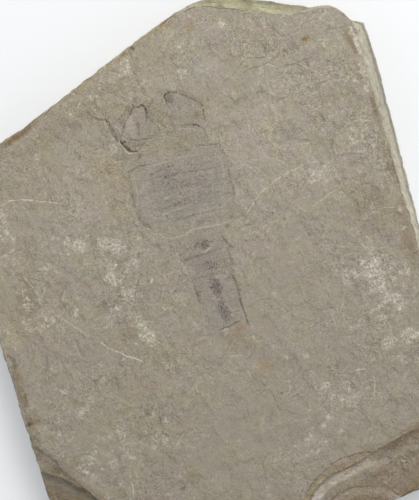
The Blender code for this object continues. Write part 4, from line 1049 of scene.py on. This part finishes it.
def film_material(looks, animal):
    recipe = Recipe("fossil_cuticle")
    colour, grain, silt = stone_ground(recipe, looks)
    inside = recipe.attribute("film")
    crushed = recipe.step(0.5, 0.95, inside)
    pepper = recipe.noise(0.5, 1.0, shift=1.0)
    even = recipe.shade(tuple(looks.stone), grain * 0.85 + silt * 0.30 + pepper * 0.80 + 0.13)
    colour = recipe.mix(colour, even, inside * 0.40 + 0.35 * recipe.step(0.05, 0.40, inside))
    colour = recipe.mix(colour, recipe.attribute("tint", True), 1.0, "MULTIPLY")
    cloud = recipe.noise(4.0, 3.0, 0.6, (1.6, 0.8, 1.0), 3.0)
    greyed = recipe.mix(rgba(animal.pale_film), rgba(animal.dark_film), recipe.step(0.36, 0.64, cloud))
    colour = recipe.mix(colour, recipe.mix(colour, greyed, 1.0, "MULTIPLY"), inside)

    # crushed cuticle: streaks along the bands, dark specks where it is thickest
    streaks = recipe.noise(0.8, 3.0, 0.7, (1.35, 0.9, 1.0), 7.0)
    colour = recipe.shade(colour, 1.0 + (streaks - 0.5) * (crushed * 0.46 + 0.06))
    speckle = recipe.attribute("speckle")
    rows = recipe.attribute("rows") / 3.1
    row = 1.0 - recipe.step(0.0, 0.30, abs(rows.math("FRACT", rows) - 0.5))
    fleck = recipe.noise(0.85, 3.0, 0.72, (0.7, 1.6, 1.0), 11.0)
    dark = recipe.step(0.0, 0.08, fleck - 0.64 + speckle * 0.09 + row * crushed * 0.03)
    colour = recipe.mix(colour, rgba(animal.stain), dark * (speckle * 0.56 + 0.24))
    threads = worms(recipe, 1.8, 0.12, 15.0) * recipe.step(0.46, 0.62, recipe.noise(5.0, 2.0, shift=23.0))
    white = recipe.step(0.69, 0.78, recipe.noise(1.3, 2.0, 0.6, shift=13.0)) * 0.35
    colour = recipe.mix(colour, rgba(looks.chalk), white + threads * 0.20)
    colour, scored = sharp_marks(recipe, colour)

    crumple = recipe.noise(7.0, 5.0, 0.60, shift=15.0)
    height = grain * 0.30 + silt * 0.30 + crumple * 1.1 + streaks * 0.50
    height = height + row * inside * 0.10 - dark * 0.08 - scored
    return recipe.finish(colour, 0.74 + grain * 0.18 - inside * 0.06, height)


# ---------------------------------------------------------------------------------------------------------
# Pieces


def new_grid(name, columns, rows):
    """A grid object, selected and active, and the column and row of each of its vertices."""
    bpy.ops.object.select_all(action="DESELECT")
    bpy.ops.mesh.primitive_grid_add(
        x_subdivisions=columns, y_subdivisions=rows, size=1.0, location=(0.0, 0.0, 0.0)
    )
    piece = bpy.context.object
    piece.name = piece.data.name = name
    corners = read_places(piece)
    column = np.rint((corners[:, 0] + 0.5) * columns).astype(int)
    row = np.rint((corners[:, 1] + 0.5) * rows).astype(int)
    return piece, column, row


def read_places(piece):
    places = np.empty(len(piece.data.vertices) * 3)
    piece.data.vertices.foreach_get("co", places)
    return places.reshape(-1, 3)


def write_places(piece, places):
    piece.data.vertices.foreach_set("co", places.ravel())
    piece.data.update()


def selected_vertices(piece):
    chosen = np.empty(len(piece.data.vertices), bool)
    piece.data.vertices.foreach_get("select", chosen)
    return np.flatnonzero(chosen)


def is_closed(piece):
    """True if every edge of the piece has two faces."""
    uses = np.zeros(len(piece.data.edges), int)
    edges = np.empty(len(piece.data.loops), int)
    piece.data.loops.foreach_get("edge_index", edges)
    np.add.at(uses, edges, 1)
    return bool((uses == 2).all())


def seat(piece, node, material):
    """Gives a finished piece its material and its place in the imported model."""
    piece.data.materials.clear()
    piece.data.materials.append(material)
    if not is_closed(piece):
        raise RuntimeError(f"{piece.name} has an open edge")
    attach(piece, "root")
    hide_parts(node)


def shares(cells, finer):
    """Where the lines between cells lie, as shares of the whole width: closer together in one part."""
    start, end, times = finer
    widths = [start, (end - start) * times, 1.0 - end]
    reach = np.concatenate([[0.0], np.cumsum(widths)]) / sum(widths)
    return np.interp(np.arange(cells + 1) / cells, reach, (0.0, start, end, 1.0))


def resample(points, wanted):
    """Points at these shares of a polyline's length."""
    points = np.array(points)
    reach = np.concatenate([[0.0], np.cumsum(np.hypot(*np.diff(points[:, :2], axis=0).T))])
    return np.column_stack([np.interp(wanted * reach[-1], reach, values) for values in points.T])


def slab_outlines(looks):
    """The foot's outline, the rim's and the way outwards, as loops of points that run anticlockwise."""
    across, along = shares(COLUMNS, FINER_ACROSS), shares(ROWS, FINER_ALONG)
    bottom, top = resample(BOTTOM_SIDE, across), resample(TOP_SIDE, across)
    left, right = resample(LEFT_SIDE, along), resample(RIGHT_SIDE, along)
    loop = np.concatenate([bottom[:-1], right[:-1], top[:0:-1], left[:0:-1]])
    ahead = np.roll(loop, -4, axis=0) - np.roll(loop, 4, axis=0)
    ahead = ahead[:, :2] / np.hypot(*ahead[:, :2].T)[:, None]
    inward = np.column_stack([-ahead[:, 1], ahead[:, 0]])
    place, setback = loop[:, :2], loop[:, 2]
    rough = looks.roughness / MM * bumps(*place.T, 6.0, 4.0)
    chips = 0.30 * np.abs(bumps(*place.T, 3.4, 24.0, 3, 0.6))
    foot = place + inward * np.maximum(rough, 0.0)[:, None]
    rim = place + inward * (setback + rough + chips)[:, None]
    return foot, rim, -inward


def upper_face(rim, column, row):
    """The places of the upper face's vertices, spread between the rim's four sides."""
    u, v = shares(COLUMNS, FINER_ACROSS)[column][:, None], shares(ROWS, FINER_ALONG)[row][:, None]
    top_start, left_start = 2 * COLUMNS + ROWS, 2 * COLUMNS + 2 * ROWS
    bottom, top = rim[column], rim[top_start - column]
    left, right = rim[(left_start - row) % left_start], rim[COLUMNS + row]
    between = bottom * (1 - v) + top * v + left * (1 - u) + right * u
    corners = rim[0] * (1 - u) * (1 - v) + rim[COLUMNS] * u * (1 - v)
    corners += rim[top_start] * (1 - u) * v + rim[COLUMNS + ROWS] * u * v
    return between - corners


def rim_station(column, row):
    """The number, in the rim's loop, of each vertex on the grid's edge. Inside the grid it isn't used."""
    station = 2 * COLUMNS + 2 * ROWS - row
    station = np.where(row == ROWS, 2 * COLUMNS + ROWS - column, station)
    station = np.where(column == COLUMNS, COLUMNS + row, station)
    return np.where(row == 0, column, station)


def side_rings():
    """Each ring of the side face from the top: (share of the thickness, bed's number, chamfer)."""
    rings = [(0.985, 0, 0.0)]
    for bed, height in enumerate(BED_EDGES):
        rings += [(height, bed, 0.0), (height - 0.004, bed + 1, 0.0)]
    return rings + [(0.028, len(BED_EDGES), 0.0), (0.0, len(BED_EDGES), FOOT_CHAMFER)]


def ring_places(ring, foot, rim, outward, looks):
    """Where one ring of the side face runs."""
    height_share, bed, chamfer = ring
    edges = [1.0] + BED_EDGES + [0.0]
    middle = 1.0 - (edges[bed] + edges[bed + 1]) / 2
    setback_share = np.interp(middle, *zip(*SIDE_PROFILE))
    place = rim + (foot - rim) * setback_share
    stray = 0.55 * bumps(*place.T, 9.0, 100.0 + 3.0 * bed, 2)
    stray += 0.30 * bumps(*place.T, 2.6, 200.0 + 3.0 * bed, 2, 0.6)
    lean = 0.25 * (1.0 - height_share) - chamfer
    place = place + outward * (stray - 0.05 + lean)[:, None]
    waver = looks.waver / MM if 0.1 < height_share < 0.9 else 0.35 * looks.waver / MM
    if chamfer:
        waver = 0.0
    height = THICKNESS * height_share + waver * bumps(*place.T, 30.0, 9.0)
    height += 0.5 * min(waver, 1.0) * bumps(*place.T, 7.0, 12.0 + bed)
    surface = surface_height(*place.T, looks)
    height = np.minimum(height, surface - 0.06 * (bed + 1 - height_share))
    return np.column_stack([place, np.maximum(height, 0.0 if chamfer else 0.35)])


def keep_in_box(places, node):
    """Places in millimetres, held just inside a CAD node's box."""
    low, high = (np.array(corner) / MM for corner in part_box(node))
    return np.clip(places, low + 0.005, high - 0.005)


def build_slab(looks):
    """The upper face is a grid warped to the rim; its edge is then drawn down and out, bed by bed."""
    foot, rim, outward = slab_outlines(looks)
    piece, column, row = new_grid("slab_stone", COLUMNS, ROWS)
    place = upper_face(rim, column, row)
    x, y = place.T
    depth, _ = animal_depth(x, y)
    height = surface_height(x, y, looks) - POCKET_DEPTH * smooth_step(1.0, 2.2, depth)
    write_places(piece, keep_in_box(np.column_stack([place, height]), "slab") * MM)
    station = piece.data.attributes.new("station", "INT", "POINT")
    station.data.foreach_set("value", rim_station(column, row))

    for ring in side_rings():
        bpy.ops.object.mode_set(mode="EDIT")
        bpy.ops.mesh.select_mode(type="EDGE")
        bpy.ops.mesh.select_all(action="DESELECT")
        bpy.ops.mesh.select_non_manifold()
        bpy.ops.mesh.extrude_region_move()
        bpy.ops.object.mode_set(mode="OBJECT")
        drawn = selected_vertices(piece)
        stations = np.empty(len(piece.data.vertices), np.int32)
        piece.data.attributes["station"].data.foreach_get("value", stations)
        places = read_places(piece)
        around = keep_in_box(ring_places(ring, foot, rim, outward, looks), "slab") * MM
        places[drawn] = around[stations[drawn]]
        write_places(piece, places)
    bpy.ops.object.mode_set(mode="EDIT")
    bpy.ops.mesh.select_all(action="DESELECT")
    bpy.ops.mesh.select_non_manifold()
    bpy.ops.mesh.edge_face_add()
    bpy.ops.mesh.select_all(action="SELECT")
    bpy.ops.mesh.normals_make_consistent(inside=False)
    bpy.ops.object.mode_set(mode="OBJECT")
    piece.data.attributes.remove(piece.data.attributes["station"])
    bpy.ops.object.shade_smooth_by_angle(angle=math.radians(38.0))
    return piece


def paint_slab(piece):
    """Stores what the stone's material reads at each vertex."""
    x, y, _ = (read_places(piece) / MM).T
    top = (COLUMNS + 1) * (ROWS + 1)
    side = np.zeros(len(x))
    side[top:] = 1.0
    upper = 1.0 - side
    tint = fossil_tint(x, y)
    # mineral stains, and a painted shade over the top-right corner
    for stain in STAINS_AND_PAINTED_SHADE:
        paint_patch(tint, x, y, *stain)
    for line in EDGE_LINES:
        paint_line(tint, x, y, *line)
    for cx, cy, radius in PITS:
        paint_patch(tint, x, y, DARK, 0.8, cx, cy, radius, radius, 0)
    for cx, cy, radius in CHIPS:
        paint_patch(tint, x, y, WHITE, 0.75, cx, cy, radius, 0.8 * radius, 20)
    fields = [break_field(x, y, shape) for shape in BREAKS]
    # bands along the ledges; the darker ones at the foot of the left ledges are painted shade
    for colour, strength, half_width, shift, number, start, end in LEDGE_BANDS:
        off = np.abs(fields[number] - shift) + 0.4 * half_width * bumps(x, y, 6.0, 43.0, 2)
        mask = strength * (1.0 - smooth_step(0.4 * half_width, 1.5 * half_width, off))
        mask *= upper * smooth_step(start - 4.0, start + 4.0, x)
        mask *= 1.0 - smooth_step(end - 4.0, end + 4.0, x)
        tint *= dye(colour, mask)
    # the breaks' floors, the first darkened partly as painted shade
    for colour, start, number in BREAK_FLOORS:
        tint *= dye(colour, upper * smooth_step(start, start + 3.0, fields[number]))
    beds = np.repeat([BED_TINTS[bed] for _, bed, _ in side_rings()], 2 * COLUMNS + 2 * ROWS)
    fresh = 0.55 + 0.6 * smooth_step(60.0, 100.0, x)
    olive = side * smooth_step(20.0, 30.0, x) * smooth_step(112.0, 120.0, y)
    tint[top:] *= 1.0 + ((beds - 1.0) * (1.0 - 0.6 * olive[top:]))[:, None]
    tint *= dye(OLIVE_BEDS, olive)
    lighter = np.interp(y, RIGHT_SIDE_PLACES, RIGHT_SIDE_SHARES) - 1.0
    tint *= 1.0 + (side * (x > RIGHT_SIDE_FROM) * lighter)[:, None]
    # painted light: the whole slab, sides too, is painted up to 7.5 per cent lighter towards the top of the
    # view and darker towards the bottom, standing in for the lamp's falloff
    tint *= 1.0 + 0.075 * ((0.303 * x + 0.953 * y) / 130.0)[:, None]
    bruise = np.zeros(len(x))
    for strength, *shape in BRUISES:
        bruise = np.maximum(bruise, 0.72 * strength * patch_mask(x, y, *shape, 0.6))
    across, strength = line_field(x, y, [(gain, 1.0, line) for gain, line in SCRATCHES])
    store_all(piece.data, x, y, {
        "upper_ledge": np.where(x < 0.0, fields[0], fields[2]),
        "lower_ledge": np.where(x < 0.0, fields[1], fields[3]),
        "tint": tint, "levels": lamina_levels(x, y), "bruise": bruise, "side": side, "fresh": fresh,
        "scratch": across, "scratch_strength": strength,
    })


def drop_pinches(inside):
    """Takes out cells that touch others only at a corner, which would leave the film's edge pinched."""
    for _ in range(12):
        a, b, c, d = inside[:-1, :-1], inside[1:, :-1], inside[:-1, 1:], inside[1:, 1:]
        first, second = a & d & ~b & ~c, b & c & ~a & ~d
        if not (first.any() or second.any()):
            break
        inside[:-1, :-1] &= ~first
        inside[1:, :-1] &= ~second
    return inside


def film_relief(x, y, depth, limb, animal):
    """How far the film stands over the bedding face: under 0 at its edge, which dives into the stone."""
    relief = -FILM_EDGE_SINK + 0.48 * smooth_step(0.0, 0.9, depth)
    slope = np.where(y > TAIL_START, -0.12, 0.02)
    along = y - slope * x + 0.8 * bumps(x, y, 14.0, 63.0, 2)
    lip = animal.relief / MM
    band = np.zeros(len(x))
    seams = [BODY_FRONT] + SEAMS + [TAIL_END]
    for front, rear in zip(seams, seams[1:]):
        share = np.clip((front - along) / (front - rear), 0.0, 1.0)
        within_band = (along <= front) & (along > rear)
        band = np.where(within_band, lip * share**2 - 0.5 * lip * smooth_step(0.9, 1.0, share), band)
    relief += band * smooth_step(1.0, 2.6, depth) * (y < BODY_FRONT)
    for outline, rise in ((LEFT_COXA, 0.26), (RIGHT_COXA, 0.20), (HEAD_REMNANT, 0.10)):
        relief += rise * smooth_step(0.2, 3.4, depth_inside(x, y, outline))
    relief += 0.05 * bumps(x, y, 1.8, 65.0, 2) * smooth_step(0.6, 1.6, depth)
    rounded = -FILM_EDGE_SINK + 0.52 * np.sqrt(np.clip(1.0 - (limb / LIMB_RADIUS) ** 2, 0.0, 1.0))
    around = relief * (depth > 0.6) - FILM_EDGE_SINK * (depth <= 0.6)
    return np.where(limb < LIMB_RADIUS, np.maximum(around, rounded), relief)


def build_animal(looks, animal):
    """The film is a fine grid over the animal, cut to its outline, given relief and made solid."""
    low, high = (np.array(corner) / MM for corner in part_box("sea_scorpion"))
    columns, rows = (int((high[axis] - low[axis]) / FILM_CELL) for axis in (0, 1))
    piece, column, row = new_grid("sea_scorpion_film", columns, rows)
    x = low[0] + (high[0] - low[0]) * column / columns
    y = low[1] + (high[1] - low[1]) * row / rows
    depth, limb = animal_depth(x, y)
    height = surface_height(x, y, looks) + film_relief(x, y, depth, limb, animal)
    write_places(piece, np.column_stack([x, y, height]) * MM)

    table = np.zeros((columns + 1, rows + 1))
    table[column, row] = depth
    inside = (table[:-1, :-1] + table[1:, :-1] + table[:-1, 1:] + table[1:, 1:]) > 0.0
    inside = drop_pinches(inside)
    centres = np.empty(len(piece.data.polygons) * 3)
    piece.data.polygons.foreach_get("center", centres)
    cx, cy, _ = (centres.reshape(-1, 3) / MM).T
    i = np.clip(((cx - low[0]) / (high[0] - low[0]) * columns).astype(int), 0, columns - 1)
    j = np.clip(((cy - low[1]) / (high[1] - low[1]) * rows).astype(int), 0, rows - 1)
    bpy.ops.object.mode_set(mode="EDIT")
    bpy.ops.mesh.select_mode(type="FACE")
    bpy.ops.mesh.select_all(action="DESELECT")
    bpy.ops.object.mode_set(mode="OBJECT")
    piece.data.polygons.foreach_set("select", ~inside[i, j])
    bpy.ops.object.mode_set(mode="EDIT")
    bpy.ops.mesh.delete(type="FACE")
    bpy.ops.object.mode_set(mode="OBJECT")
    thicken = piece.modifiers.new("film", "SOLIDIFY")
    thicken.thickness = animal.film
    thicken.offset = -1.0
    bpy.ops.object.modifier_apply(modifier="film")
    places = read_places(piece) / MM
    places[:, 2] = np.maximum(places[:, 2], low[2] + 0.01)
    write_places(piece, keep_in_box(places, "sea_scorpion") * MM)
    bpy.ops.object.shade_smooth_by_angle(angle=math.radians(60.0))
    return piece


def paint_animal(piece):
    """Stores what the film's material reads at each vertex."""
    x, y, _ = (read_places(piece) / MM).T
    depth, _ = animal_depth(x, y)
    tint = fossil_tint(x, y)
    for cx, cy, radius in PITS:
        paint_patch(tint, x, y, DARK, 0.7, cx, cy, radius, radius, 0)
    thick = smooth_step(6.0, 9.0, depth + (y < TAIL_START) * 4.0)
    film = smooth_step(0.5, 1.3, depth) * (0.42 + 0.58 * thick)
    speckle = 0.15 * film
    for strength, *shape in SPECKLE_PATCHES:
        speckle = np.maximum(speckle, strength * patch_mask(x, y, *shape))
    speckle *= smooth_step(0.6, 1.2, depth)
    rows = y + 0.12 * x * (y > TAIL_START) + 0.9 * bumps(x, y, 12.0, 67.0, 2)
    store_all(piece.data, x, y, {"tint": tint, "film": film, "speckle": speckle, "rows": rows})


class FOSSIL_OT_slab(bpy.types.Operator):
    """Build the stone slab, with its fractured sides and the flakes broken from its corners"""

    bl_idname = "fossil.slab"
    bl_label = "Stone Slab"

    def execute(self, context):
        looks = context.scene.fossil_slab
        piece = build_slab(looks)
        paint_slab(piece)
        seat(piece, "slab", stone_material(looks))
        return {"FINISHED"}


class FOSSIL_OT_sea_scorpion(bpy.types.Operator):
    """Build the sea scorpion's pressed film: leg bases, limb, banded body and tail"""

    bl_idname = "fossil.sea_scorpion"
    bl_label = "Sea Scorpion"

    def execute(self, context):
        looks, animal = context.scene.fossil_slab, context.scene.fossil_animal
        piece = build_animal(looks, animal)
        paint_animal(piece)
        seat(piece, "sea_scorpion", film_material(looks, animal))
        return {"FINISHED"}


class FOSSIL_OT_stage(bpy.types.Operator):
    """Lay the floor, hang the lamp and set the camera straight over the slab"""

    bl_idname = "fossil.stage"
    bl_label = "Stage"

    def execute(self, context):
        looks = context.scene.fossil_stage
        build_floor(looks)
        build_light(context, looks)
        build_camera(context, looks)
        return {"FINISHED"}


def build_floor(looks):
    bpy.ops.object.select_all(action="DESELECT")
    bpy.ops.mesh.primitive_plane_add(size=FLOOR_WIDTH * MM, location=(0.0, 0.0, 0.0))
    floor = bpy.context.object
    floor.name = "studio_floor"
    recipe = Recipe("studio_paper")
    paper = recipe.noise(140.0, 2.0)
    colour = recipe.shade(tuple(looks.floor), 0.99 + paper * 0.02)
    floor.data.materials.append(recipe.finish(colour, 0.9, paper * 0.02, looks.glow))


def build_light(context, looks):
    world = bpy.data.worlds.new("studio_sky")
    world.use_nodes = True
    background = world.node_tree.nodes["Background"].inputs
    background["Color"].default_value = rgba(SKY_COLOUR)
    background["Strength"].default_value = looks.sky
    context.scene.world = world
    away = Vector(LAMP_DIRECTION).normalized()
    elevation = math.radians(LAMP_ELEVATION)
    towards = away * math.cos(elevation) + Vector((0.0, 0.0, math.sin(elevation)))
    bpy.ops.object.light_add(type="AREA", location=towards * LAMP_DISTANCE * MM)
    key = bpy.context.object
    key.name = "key_light"
    key.data.shape = "SQUARE"
    key.data.size = LAMP_WIDTH * MM
    key.data.energy = looks.key_power
    key.data.color = LAMP_COLOUR
    key.rotation_euler = towards.to_track_quat("Z", "Y").to_euler()
    key.visible_camera = False
    context.scene.view_settings.view_transform = "Standard"


def build_camera(context, looks):
    data = bpy.data.cameras.new("camera")
    data.lens = looks.lens
    data.sensor_width = 36.0
    data.clip_start, data.clip_end = 0.1, 50.0
    camera = bpy.data.objects.new("camera", data)
    context.scene.collection.objects.link(camera)
    camera.location = (CAMERA_OVER[0] * MM, CAMERA_OVER[1] * MM, THICKNESS * MM + looks.height)
    camera.rotation_euler = (0.0, 0.0, math.radians(CAMERA_TURN))
    context.scene.camera = camera


class FOSSIL_PT_panel(bpy.types.Panel):
    """Lists what the add-on builds"""

    bl_idname = "FOSSIL_PT_panel"
    bl_label = "Sea Scorpion Fossil"
    bl_space_type = "VIEW_3D"
    bl_region_type = "UI"
    bl_category = "Fossil"

    def draw(self, context):
        for operator, settings in (
            ("fossil.slab", context.scene.fossil_slab),
            ("fossil.sea_scorpion", context.scene.fossil_animal),
            ("fossil.stage", context.scene.fossil_stage),
        ):
            box = self.layout.box()
            box.operator(operator)
            for name in settings.bl_rna.properties.keys():
                if name not in ("rna_type", "name"):
                    box.prop(settings, name)


CLASSES = (
    SlabSettings, AnimalSettings, StageSettings, FOSSIL_OT_slab, FOSSIL_OT_sea_scorpion, FOSSIL_OT_stage,
    FOSSIL_PT_panel,
)
SETTINGS = {"fossil_slab": SlabSettings, "fossil_animal": AnimalSettings, "fossil_stage": StageSettings}


def register():
    for kind in CLASSES:
        bpy.utils.register_class(kind)
    for name, kind in SETTINGS.items():
        setattr(bpy.types.Scene, name, bpy.props.PointerProperty(type=kind))


def unregister():
    for name in SETTINGS:
        delattr(bpy.types.Scene, name)
    for kind in reversed(CLASSES):
        bpy.utils.unregister_class(kind)


def main():
    register()
    bpy.ops.fossil.slab()
    bpy.ops.fossil.sea_scorpion()
    bpy.ops.fossil.stage()


if __name__ == "__main__":
    main()
